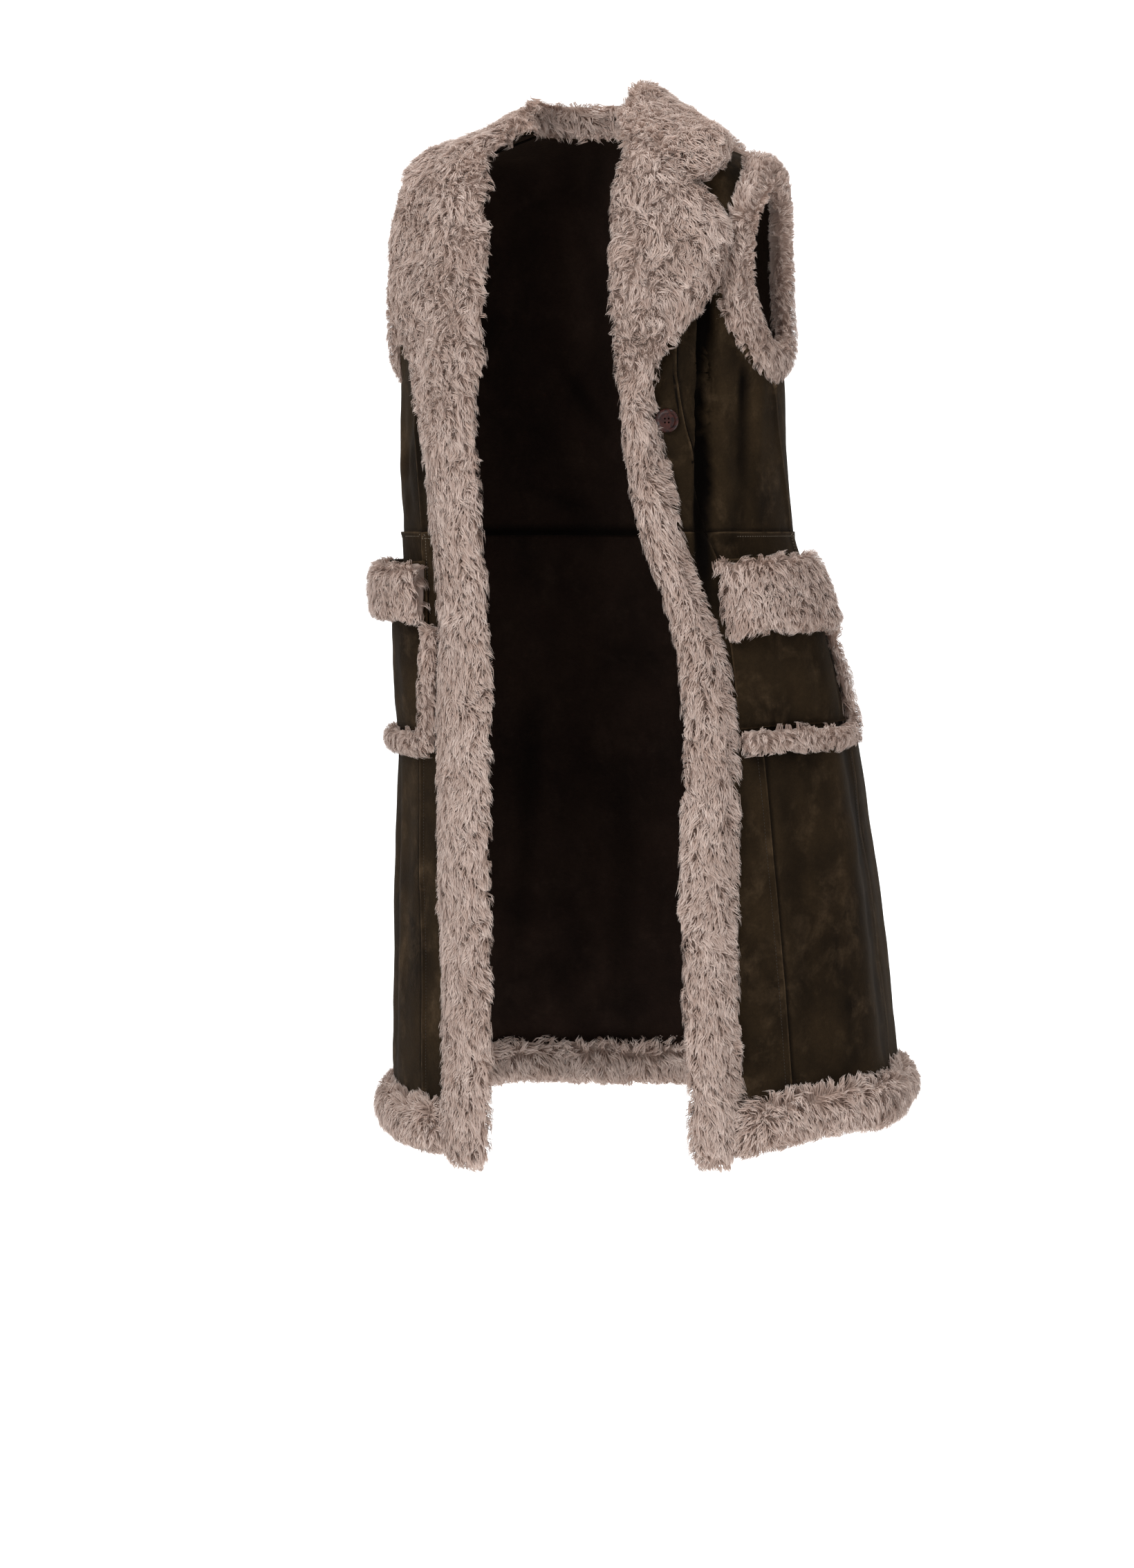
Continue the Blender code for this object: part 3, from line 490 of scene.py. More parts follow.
# Cut size of each panel, width and length, in the order in which they lie over each other at their
# seams, and how far its topstitching is from the seam.
PANEL_CUTS = {
    "skirt_centre_front_left": ((0.048, 0.66), 0.0075),
    "skirt_centre_front_right": ((0.050, 0.66), 0.0075),
    "skirt_side_front_left": ((0.185, 0.66), 0.0050),
    "skirt_side_front_right": ((0.26, 0.66), 0.0050),
    "skirt_back": ((0.76, 0.67), 0.0050),
    "upper_centre_front_left": ((0.060, 0.46), None),
    "upper_centre_front_right": ((0.075, 0.46), None),
    "upper_side_front_left": ((0.115, 0.46), None),
    "upper_side_front_right": ((0.125, 0.46), None),
    "upper_back": ((0.58, 0.48), None),
}
sheets = {node: smooth_sheet(node, body_heart, 3 if "upper_side" in node else 2) for node in PANEL_CUTS}
order = list(PANEL_CUTS)
panels = {}
stitch_lines = {}
for number, node in enumerate(order):
    over, under = (
        point_tree([point for name in names for point in sheets[name][1]])
        for names in (order[:number], order[number + 1 :])
    )
    panels[node] = sheets[node][0]
    stitch_lines[node] = cloth_shell(
        *sheets[node], over, under, PANEL_WALL, (CLOTH_OUT, CLOTH_IN), stitch_lay=PANEL_CUTS[node][1]
    )
    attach(panels[node], "root")
    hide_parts(node)


# ---------------------------------------------------------------------------------------------
# Topstitching. Waxed thread in short even stitches along the lapped seams of the skirt and the
# waist, sewn through both panels on the side of the upper one.

STITCH_PITCH = 0.0036
STITCH_LONG = 0.0026
STITCH_THICK = 0.0007
THREAD_COLOUR = (0.016, 0.011, 0.007, 1.0)
THREAD_WORN = (0.150, 0.122, 0.092, 1.0)
THREAD_WORN_FROM = -0.52  # the thread is worn pale from here up, at the waist


def stitch_mesh():
    """One stitch along X: a fine rounded thread whose ends dip into the cloth."""
    mesh = bmesh.new()
    rings = []
    for share in (-0.36, 0.0, 0.36):
        lift = STITCH_THICK * (0.35 - 4.2 * share**2)
        rings.append([
            mesh.verts.new((
                STITCH_LONG * share,
                0.5 * STITCH_THICK * math.cos(turn),
                lift + 0.5 * STITCH_THICK * math.sin(turn),
            ))
            for turn in (math.tau * (i + 0.5) / 5 for i in range(5))
        ])
    for low, high in zip(rings, rings[1:]):
        for i in range(5):
            mesh.faces.new((low[i], low[i - 1], high[i - 1], high[i]))
    for ring, share in ((rings[0], -0.5), (rings[-1], 0.5)):
        tip = mesh.verts.new((STITCH_LONG * share, 0, -0.8 * STITCH_THICK))
        for i in range(5):
            mesh.faces.new((tip, ring[i], ring[i - 1]) if share > 0 else (tip, ring[i - 1], ring[i]))
    bmesh.ops.recalc_face_normals(mesh, faces=mesh.faces)
    data = mesh_data("stitch", mesh)
    data.shade_smooth()
    return data


def stitch_tree():
    """Geometry Nodes: a stitch at every pitch of a line, turned along it and laid on its facing."""
    inputs = {"Line": "Geometry", "Stitch": "Object", "Pitch": "Float", "Finish": "Material"}
    tree = node_group("Stitch row", "GeometryNodeTree", inputs, {"Stitches": "Geometry"})
    given = tree.nodes.new("NodeGroupInput").outputs

    def node(kind, values=(), **settings):
        return add_node(tree, kind, values, **settings)

    curve = node("GeometryNodeMeshToCurve", {"Mesh": given["Line"]}).outputs["Curve"]
    even = node("GeometryNodeResampleCurve", {"Curve": curve, "Length": given["Pitch"]}, mode="LENGTH")
    shape = node("GeometryNodeObjectInfo", {"Object": given["Stitch"]})
    facing = node("GeometryNodeInputNamedAttribute", {"Name": "facing"}, data_type="FLOAT_VECTOR")
    upright = node("FunctionNodeAlignRotationToVector", {"Vector": facing.outputs["Attribute"]}, axis="Z")
    turned = node("FunctionNodeAlignRotationToVector", axis="X", pivot_axis="Z")
    tangent = node("GeometryNodeInputTangent").outputs[0]
    fill(tree, turned, {"Rotation": upright.outputs["Rotation"], "Vector": tangent})
    row = node("GeometryNodeInstanceOnPoints", {"Points": even.outputs["Curve"]})
    fill(tree, row, {"Instance": shape.outputs["Geometry"], "Rotation": turned.outputs["Rotation"]})
    real = node("GeometryNodeRealizeInstances", {"Geometry": row.outputs["Instances"]}).outputs["Geometry"]
    finish = node("GeometryNodeSetMaterial", {"Geometry": real, "Material": given["Finish"]})
    fill(tree, node("NodeGroupOutput"), {"Stitches": finish.outputs["Geometry"]})
    return tree


def set_inputs(modifier, values):
    """Gives a Geometry Nodes modifier its values by its sockets' identifiers."""
    for item in modifier.node_group.interface.items_tree:
        if item.in_out == "INPUT" and item.name in values:
            modifier[item.identifier] = values[item.name]


def thread_material():
    """Thread with a twist along it, worn pale at the waist."""
    made, tree, shader = new_material("thread")
    place = tree.nodes.new("ShaderNodeTexCoord").outputs["Object"]
    twist = add_node(tree, "ShaderNodeTexNoise", {"Vector": place, "Scale": 260.0}).outputs["Fac"]
    height = add_node(tree, "ShaderNodeSeparateXYZ", {0: place}).outputs["Z"]
    worn = add_node(tree, "ShaderNodeMapRange", {"Value": height})
    fill(tree, worn, {"From Min": THREAD_WORN_FROM - 0.03, "From Max": THREAD_WORN_FROM + 0.03})
    ramp = add_node(tree, "ShaderNodeValToRGB")
    low, high = ramp.color_ramp.elements
    low.color, high.color = THREAD_COLOUR, THREAD_WORN
    high.position = 0.6
    fill(tree, ramp, {"Fac": math_result(tree, "MULTIPLY", twist, worn.outputs["Result"])})
    bump = add_node(tree, "ShaderNodeBump", {"Distance": 0.0002, "Height": twist})
    fill(tree, shader, {
        "Base Color": ramp.outputs["Color"],
        "Normal": bump.outputs["Normal"],
        "Roughness": 0.6,
        "Specular IOR Level": 0.3,
    })
    return made


one_stitch = finished_object("one_stitch", stitch_mesh())
STITCH_TREE = stitch_tree()
THREAD = thread_material()
for node, lines in stitch_lines.items():
    if not lines:
        continue
    mesh = bmesh.new()
    facing = mesh.verts.layers.float_vector.new("facing")
    for line in lines:
        before = None
        for spot, normal in line:
            here = mesh.verts.new(spot)
            here[facing] = normal
            if before:
                mesh.edges.new((before, here))
            before = here
    rows = finished_object(node + "_stitches", mesh_data(node + "_stitches", mesh))
    sewer = rows.modifiers.new("sewer", "NODES")
    sewer.node_group = STITCH_TREE
    set_inputs(sewer, {"Stitch": one_stitch, "Pitch": STITCH_PITCH, "Finish": THREAD})
    baked(rows)
    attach(rows, "root")
bpy.data.objects.remove(one_stitch)


# ---------------------------------------------------------------------------------------------
# Patch pockets. Deep pockets of the same cloth, sewn on over the skirt and standing off it.

POCKET_WALL = 0.0022
POCKET_CUTS = {"pocket_left": (0.17, 0.205), "pocket_right": (0.19, 0.21)}
pockets = {}
for node in POCKET_CUTS:
    pockets[node], rim = smooth_sheet(node, body_heart, 2)
    none = point_tree([])
    cloth_shell(
        pockets[node], rim, none, none, POCKET_WALL, (CLOTH_OUT, CLOTH_IN), ripple=0.0016, runs_on=False
    )
    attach(pockets[node], "root")
    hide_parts(node)


# ---------------------------------------------------------------------------------------------
# Pile of the trims. Long faux fur on a knitted backing, cut in strips and turned over the edges.
# Each trim is a backing that carries clumps of fine wavy strands, combed down and away from a
# parting on its middle, and standing up along its rims.

CLUMP_SHAPES = 8
CLUMP_REACH = 0.0112  # from the roots to the tips, along the comb
CLUMP_RISE = 0.0090
CLUMP_FOOT = 0.0040  # radius that the roots of a clump cover
CLUMP_STRANDS = 10
STRAND_WIDE = 0.00092
STRAND_STEPS = (0.0, 0.55)  # rings of a strand under its tip
CLUMP_DENSITY = 400000.0  # clumps tried on a square metre, before those too close are dropped
CLUMP_SUNK = 0.0017  # clumps rooted deeper than this under the cloth's face aren't lifted out
CURL_WAVE = 85.0
SWAY_WAVES = (38.0, 105.0)
SWAY_SHARE = 0.8
CLOTH_REACH = 0.012  # how near the cloth a trim's point can be hidden or drawn in by it
COVERED_GAP = 0.0055  # no pile grows on the side towards the cloth where the gap is under this
BARE_UNDER = 0.0012  # nor where the trim is less than this over the cloth's outer face
CORE_ROUNDS = 70  # smoothing that leaves a trim's core, from which the parting is found
INSET_SHARE = 0.36  # the backing is drawn in by this share of the trim's thickness at most
INSET_GAPS = (0.0015, 0.0085)  # it is drawn in fully where its neighbours are the second away
TOUCH_GAPS = (0.0020, 0.0050)  # and comes out to them where they are nearer than the second
TOUCH_DEEP = 0.0006
THIN_NEAR = 0.009  # this near the cloth, what is thinner than THIN_OVER is drawn into its wall
THIN_OVER = 0.0022
RAY_START = 0.03
WALL_NEAR = 0.006  # and in a trim that lies bedded, all that is this near and touches it
RIM_BEND = (0.011, 0.024)  # the pile begins to stand up, and stands, this far from the core
WANDER_WAVE = 26
PILE_LUMPS = ((0.0020, 40), (0.0008, 120))  # height and wave number of the pile's lumps
FAR = 0.1
# strand colours from root to tip: painted shade at the roots, painted light at the tips
PILE_ROOT_PAINTED_SHADE = (0.340, 0.235, 0.190, 1.0)
PILE_BODY = (0.500, 0.372, 0.312, 1.0)
PILE_TIP_PAINTED_LIGHT = (0.880, 0.775, 0.715, 1.0)
PILE_SHEEN = (0.95, 0.86, 0.81, 1.0)
GROUND_TONE = {"along": 0.50, "strand": 0.5, "tone": 0.5}  # the backing looks like the strands' middle


def clump_mesh(name, seed):
    """One clump of pile: strands that rise from the backing, bend over along +X, wave and meet.
    Attributes: along runs from 0 at the roots to 1 at the tips, strand is each strand's tone."""
    draw = np.random.default_rng(seed)
    mesh = bmesh.new()
    along = mesh.verts.layers.float.new("along")
    strand = mesh.verts.layers.float.new("strand")
    bend = draw.uniform(-0.0045, 0.0045)
    start = draw.uniform(0, 2 * math.pi)
    for number in range(CLUMP_STRANDS):
        turn = 2.4 * number
        out = CLUMP_FOOT * math.sqrt((number + 0.5) / CLUMP_STRANDS)
        foot = Vector((out * math.cos(turn), out * math.sin(turn), 0))
        is_short = number % 3 == 2
        reach = CLUMP_REACH * (draw.uniform(0.5, 0.8) if is_short else draw.uniform(0.8, 1.15))
        rise = CLUMP_RISE * draw.uniform(0.70, 1.15)
        wave = draw.uniform(0.0004, 0.0012)
        own_start = start + draw.uniform(-1.0, 1.0)
        stray = draw.uniform(-0.0016, 0.0016)
        roll = draw.uniform(-0.6, 0.6)
        tone = draw.uniform(0, 1)

        def middle(t):
            gather = 1 - 0.50 * t
            swing = wave * (math.sin(2.2 * math.pi * t + own_start) - math.sin(own_start))
            return Vector((
                foot.x * gather + reach * t**1.35,
                foot.y * gather + swing + (bend + stray) * t**2,
                rise * math.sin(math.pi * 0.60 * t) - 0.001,
            ))

        rings = []
        for t in STRAND_STEPS:
            half = 0.5 * STRAND_WIDE * (0.9 + 0.5 * t - 0.9 * t**2)
            side = Vector((0, math.cos(roll), math.sin(roll))) * half
            rings.append([mesh.verts.new(middle(t) - side), mesh.verts.new(middle(t) + side)])
            for vertex in rings[-1]:
                vertex[along] = t
                vertex[strand] = tone
        tip = mesh.verts.new(middle(1.0))
        tip[along] = 1.0
        tip[strand] = tone
        for low, high in zip(rings, rings[1:]):
            mesh.faces.new((low[0], high[0], high[1], low[1]))
        mesh.faces.new((rings[-1][0], tip, rings[-1][1]))
    data = mesh_data(name, mesh)
    data.shade_smooth()
    return data


clumps = bpy.data.collections.new("clump_shapes")
for number in range(CLUMP_SHAPES):
    name = f"clump_{number}"
    clumps.objects.link(bpy.data.objects.new(name, clump_mesh(name, 40 + number)))


def outer_guard():
    """The outer faces of the cloth as one object, which the pile lies on and doesn't enter."""
    joined = bmesh.new()
    for shell in list(panels.values()) + list(pockets.values()):
        joined.from_mesh(shell.data)
    near = BVHTree.FromBMesh(joined)
    inner = [face for face in joined.faces if face.material_index == 1]
    bmesh.ops.delete(joined, geom=inner, context="FACES")
    outer = BVHTree.FromBMesh(joined)
    guard = finished_object("cloth_guard", mesh_data("cloth_guard", joined))
    guard.hide_render = True
    return guard, near, outer


cloth_guard, cloth_near, cloth_outer = outer_guard()


def pile_tree():
    """Geometry Nodes: clumps spread over a backing and turned along its comb attribute, made one
    mesh, swayed by a slow noise, kept down to the pile's height and kept out of the cloth."""
    inputs = {"Backing": "Geometry", "Clumps": "Collection", "Cloth": "Object"}
    inputs.update(dict.fromkeys(("Spacing", "Length", "Height", "Ruffle", "Swirl", "Sway"), "Float"))
    inputs.update({"Seed": "Int", "Finish": "Material"})
    tree = node_group("Pile clumps", "GeometryNodeTree", inputs, {"Pile": "Geometry"})
    given = tree.nodes.new("NodeGroupInput").outputs

    def node(kind, values=(), **settings):
        return add_node(tree, kind, values, **settings)

    def attribute(name, kind="FLOAT"):
        return node("GeometryNodeInputNamedAttribute", {"Name": name}, data_type=kind).outputs["Attribute"]

    def stored(geometry, name, kind, domain, value):
        values = {"Geometry": geometry, "Name": name, "Value": value}
        store = node("GeometryNodeStoreNamedAttribute", values, data_type=kind, domain=domain)
        return store.outputs["Geometry"]

    def number(kind, *values):
        return math_result(tree, kind, *values)

    def vector(kind, *values, output=0):
        return node("ShaderNodeVectorMath", enumerate(values), operation=kind).outputs[output]

    def scaled(start, factor):
        return node("ShaderNodeVectorMath", {0: start, "Scale": factor}, operation="SCALE").outputs[0]

    def random(kind, low, high, shift):
        first, last, result = {"FLOAT": (2, 3, 1), "FLOAT_VECTOR": (0, 1, 0), "INT": (4, 5, 2)}[kind]
        values = {first: low, last: high, "Seed": shift}
        return node("FunctionNodeRandomValue", values, data_type=kind).outputs[result]

    def position():
        return node("GeometryNodeInputPosition").outputs[0]

    def wave(scale, detail):
        """A noise vector over the position, which averages to nothing."""
        made = node("ShaderNodeTexNoise", {"Vector": position(), "Scale": scale, "Detail": detail})
        return vector("SUBTRACT", made.outputs["Color"], (0.5, 0.5, 0.5))

    def nearest(target, source):
        values = {"Geometry": target, "Source Position": source}
        return node("GeometryNodeProximity", values, target_element="FACES").outputs

    def moved(geometry, place):
        return node("GeometryNodeSetPosition", {"Geometry": geometry, "Position": place}).outputs["Geometry"]

    def aligned(direction, axis, values=(), **settings):
        made = node("FunctionNodeAlignRotationToVector", values, axis=axis, **settings)
        fill(tree, made, {"Vector": direction})
        return made.outputs["Rotation"]

    cloth_skin = node("GeometryNodeObjectInfo", {"Object": given["Cloth"]}).outputs["Geometry"]

    def above_cloth(place):
        """How far a place is over the cloth, the cloth's normal there, and the way to it."""
        near = nearest(cloth_skin, place)
        facing = node("GeometryNodeSampleNearestSurface", data_type="FLOAT_VECTOR")
        field = node("GeometryNodeInputNormal").outputs[0]
        fill(tree, facing, {"Mesh": cloth_skin, "Value": field, "Sample Position": place})
        normal = facing.outputs["Value"]
        offset = vector("SUBTRACT", place, near["Position"])
        return vector("DOT_PRODUCT", offset, normal, output="Value"), normal, near["Distance"]

    spread = node("GeometryNodeDistributePointsOnFaces", distribute_method="POISSON")
    fill(tree, spread, {"Mesh": given["Backing"], "Distance Min": given["Spacing"], "Seed": given["Seed"]})
    fill(tree, spread, {"Density Max": CLUMP_DENSITY, "Density Factor": attribute("grow")})
    points = stored(spread.outputs["Points"], "lay", "FLOAT_VECTOR", "POINT", spread.outputs["Normal"])
    is_outside = number("GREATER_THAN", above_cloth(position())[0], -CLUMP_SUNK)
    points = stored(points, "outside", "FLOAT", "POINT", is_outside)

    ruffle = scaled(random("FLOAT_VECTOR", (-1, -1, -1), (1, 1, 1), 11), given["Ruffle"])
    loose = number("MULTIPLY_ADD", attribute("rise"), -0.8, 1.0)
    turn = scaled(scaled(scaled(wave(CURL_WAVE, 1.0), attribute("curl")), loose), given["Swirl"])
    ruffled = vector("ADD", vector("ADD", attribute("comb", "FLOAT_VECTOR"), ruffle), turn)
    upright = aligned(attribute("lay", "FLOAT_VECTOR"), "Z")
    turned = aligned(vector("NORMALIZE", ruffled), "X", {"Rotation": upright}, pivot_axis="Z")
    lift = number("MULTIPLY_ADD", attribute("rise"), -0.65, random("FLOAT", -0.36, 0.08, 22))
    tilt = node("ShaderNodeCombineXYZ", {"X": random("FLOAT", -0.22, 0.22, 21), "Y": lift}).outputs[0]
    lean = node("FunctionNodeEulerToRotation", {0: tilt}).outputs[0]
    turn_and_lean = {"Rotation": turned, "Rotate By": lean}
    leaned = node("FunctionNodeRotateRotation", turn_and_lean, rotation_space="LOCAL")

    shapes = node("GeometryNodeCollectionInfo", {"Collection": given["Clumps"]})
    fill(tree, shapes, {"Separate Children": True, "Reset Children": True})
    cropped = number("MULTIPLY_ADD", attribute("rise"), -0.25, 1.0)
    stature = number("MULTIPLY", cropped, attribute("stature"))
    size = scaled(random("FLOAT_VECTOR", (0.75, 0.85, 0.80), (1.20, 1.20, 1.15), 41), stature)
    grown = node("GeometryNodeInstanceOnPoints", {
        "Points": points,
        "Instance": shapes.outputs[0],
        "Pick Instance": True,
        "Instance Index": random("INT", 0, CLUMP_SHAPES - 1, 31),
        "Rotation": leaned.outputs["Rotation"],
        "Scale": scaled(size, given["Length"]),
    })
    toned = stored(grown.outputs["Instances"], "tone", "FLOAT", "INSTANCE", random("FLOAT", 0.0, 1.0, 51))
    pile = node("GeometryNodeRealizeInstances", {"Geometry": toned}).outputs["Geometry"]

    slow, quick = (scaled(wave(scale, 0.0), SWAY_SHARE) for scale in SWAY_WAVES)
    push = scaled(scaled(vector("ADD", slow, quick), given["Sway"]), attribute("curl"))
    push = scaled(push, number("POWER", attribute("along"), 1.4))
    pile = moved(pile, vector("ADD", position(), push))

    under = nearest(given["Backing"], position())
    cap = number("MULTIPLY", given["Height"], number("MULTIPLY_ADD", attribute("tone"), 0.45, 0.75))
    lowered = number("MULTIPLY", cap, number("TANH", number("DIVIDE", under["Distance"], cap)))
    keep = number("DIVIDE", lowered, number("MAXIMUM", under["Distance"], 0.00001))
    over = scaled(vector("SUBTRACT", position(), under["Position"]), keep)
    pile = moved(pile, vector("ADD", under["Position"], over))

    height, skin_normal, gap = above_cloth(position())
    close = number("MULTIPLY", number("LESS_THAN", gap, 0.010), attribute("outside"))
    rest = number("MULTIPLY_ADD", attribute("tone"), 0.0015, 0.0006)
    short_by = number("MULTIPLY", number("MAXIMUM", number("SUBTRACT", rest, height), 0.0), close)
    pile = moved(pile, vector("ADD", position(), scaled(skin_normal, short_by)))

    finish = node("GeometryNodeSetMaterial", {"Geometry": pile, "Material": given["Finish"]})
    fill(tree, node("NodeGroupOutput"), {"Pile": finish.outputs["Geometry"]})
    return tree


PILE_TREE = pile_tree()


def pile_material(name, root, body, tip):
    """Strands that pale from root to tip, painted shade at the roots and painted light at the tips, each in
    its own tone, over slow darker and paler areas.
    The attribute lay is the backing's normal, which softens the shading as dense pile does."""
    made, tree, shader = new_material(name)
    place = tree.nodes.new("ShaderNodeTexCoord").outputs["Object"]
    drift = add_node(tree, "ShaderNodeTexNoise", {"Vector": place, "Scale": 30.0, "Detail": 3.0})
    # along the strand: painted shade towards the roots, painted light towards the tips
    level = math_result(tree, "MULTIPLY", attribute_output(tree, "along", "Fac"), 0.62)
    level = math_result(tree, "MULTIPLY_ADD", attribute_output(tree, "strand", "Fac"), 0.22, level)
    level = math_result(tree, "MULTIPLY_ADD", attribute_output(tree, "tone", "Fac"), 0.16, level)
    level = math_result(tree, "MULTIPLY_ADD", drift.outputs["Fac"], 0.50, level)
    ramp = add_node(tree, "ShaderNodeValToRGB", {"Fac": math_result(tree, "SUBTRACT", level, 0.25)})
    stops = ramp.color_ramp.elements
    stops[0].color, stops[1].color = root, tip
    stops.new(0.42).color = body
    own = tree.nodes.new("ShaderNodeNewGeometry").outputs["Normal"]
    lay = attribute_output(tree, "lay", "Vector")
    agree = add_node(tree, "ShaderNodeVectorMath", {0: own, 1: lay}, operation="DOT_PRODUCT")
    leaning = {"Value": agree.outputs["Value"], "From Min": -0.10, "From Max": 0.40, "To Max": 0.85}
    share = add_node(tree, "ShaderNodeMapRange", leaning)
    soft = add_node(tree, "ShaderNodeMix", {0: share.outputs["Result"], 4: own, 5: lay}, data_type="VECTOR")
    even = add_node(tree, "ShaderNodeVectorMath", {0: soft.outputs[1]}, operation="NORMALIZE")
    fill(tree, shader, {
        "Base Color": ramp.outputs["Color"],
        "Normal": even.outputs[0],
        "Roughness": 0.75,
        "Specular IOR Level": 0.12,
        "Sheen Weight": 0.45,
        "Sheen Roughness": 0.45,
        "Sheen Tint": PILE_SHEEN,
    })
    through = add_node(tree, "ShaderNodeBsdfTranslucent", {"Color": ramp.outputs["Color"]})
    blend = add_node(tree, "ShaderNodeMixShader", {0: 0.48, 1: shader.outputs[0], 2: through.outputs[0]})
    fill(tree, tree.nodes["Material Output"], {"Surface": blend.outputs[0]})
    return made


PILE = pile_material("curly_pile", PILE_ROOT_PAINTED_SHADE, PILE_BODY, PILE_TIP_PAINTED_LIGHT)
noise.seed_set(5)  # noise_vector, which makes the comb wander, starts from the clock without this


def eased(value, low, high):
    """0 below low, 1 above high, and a smooth step between them."""
    part = min(1.0, max(0.0, (value - low) / (high - low)))
    return part * part * (3 - 2 * part)


def smoothed(mesh, times):
    for _ in range(times):
        bmesh.ops.smooth_vert(
            mesh, verts=mesh.verts, factor=0.5, use_axis_x=True, use_axis_y=True, use_axis_z=True
        )


def nearest_neighbour(node, point, within=0.010):
    """The nearest place on the cloth or on another trim, the way to it, and whether it is cloth."""
    spot, _, _, gap = cloth_near.find_nearest(point)
    found = (gap, spot, True)
    for other, tree in trim_near.items():
        if other != node:
            spot, _, _, gap = tree.find_nearest(point, within)
            if spot is not None and gap < found[0]:
                found = (gap, spot, False)
    return found


def run_ends_up(mesh, length):
    """Draws the top ends of a trim up by a length."""
    top = max(vertex.co.z for vertex in mesh.verts)
    for vertex in mesh.verts:
        vertex.co.z += length * eased(vertex.co.z, top - 0.006, top - 0.001)


def wall_middle(surface, facing):
    """The place in the middle of the cloth's wall under a place on its outer face."""
    return surface - facing * (PANEL_WALL / 2)


def sink_underside(mesh, bed):
    """Cuts a thin trim finely, and sinks its underside within bed of the cloth into the wall."""
    for _ in range(4):
        long_edges = [edge for edge in mesh.edges if edge.calc_length() > 0.007]
        bmesh.ops.subdivide_edges(mesh, edges=long_edges, cuts=1)
        bmesh.ops.triangulate(mesh, faces=mesh.faces)
    mesh.normal_update()
    beds = {}
    for vertex in mesh.verts:
        below, facing, _, near = cloth_outer.find_nearest(vertex.co)
        if near < bed and vertex.normal.dot(facing) < -0.2 and (vertex.co - below).dot(facing) > 0.0003:
            beds[vertex] = wall_middle(below, facing)
    for vertex, place in beds.items():
        vertex.co = place


def close_patches(mesh, drawn_in):
    """Draws in the small patches that stand among points drawn into the cloth's wall."""
    for _ in range(4):
        lone = []
        for vertex in mesh.verts:
            beside = [edge.other_vert(vertex).index in drawn_in for edge in vertex.link_edges]
            if vertex.index not in drawn_in and 2 * sum(beside) >= len(beside):
                lone.append(vertex)
        for vertex in lone:
            below, facing, _, near = cloth_outer.find_nearest(vertex.co)
            if near < CLOTH_REACH:
                drawn_in[vertex.index] = wall_middle(below, facing)


def even_mesh(node, how):
    """A trim's solid as a closed mesh of even squares, and its object."""
    mesh = node_mesh(node)
    if how["run_up"]:
        run_ends_up(mesh, how["run_up"])
    if how["bed"]:
        sink_underside(mesh, how["bed"])
    backing = finished_object(node + "_backing", mesh_data(node + "_backing", mesh))
    even = backing.modifiers.new("even", "REMESH")
    even.mode = "VOXEL"
    even.voxel_size = how["voxel"]
    baked(backing)
    mesh = bmesh.new()
    mesh.from_mesh(backing.data)
    mesh.normal_update()
    return backing, mesh


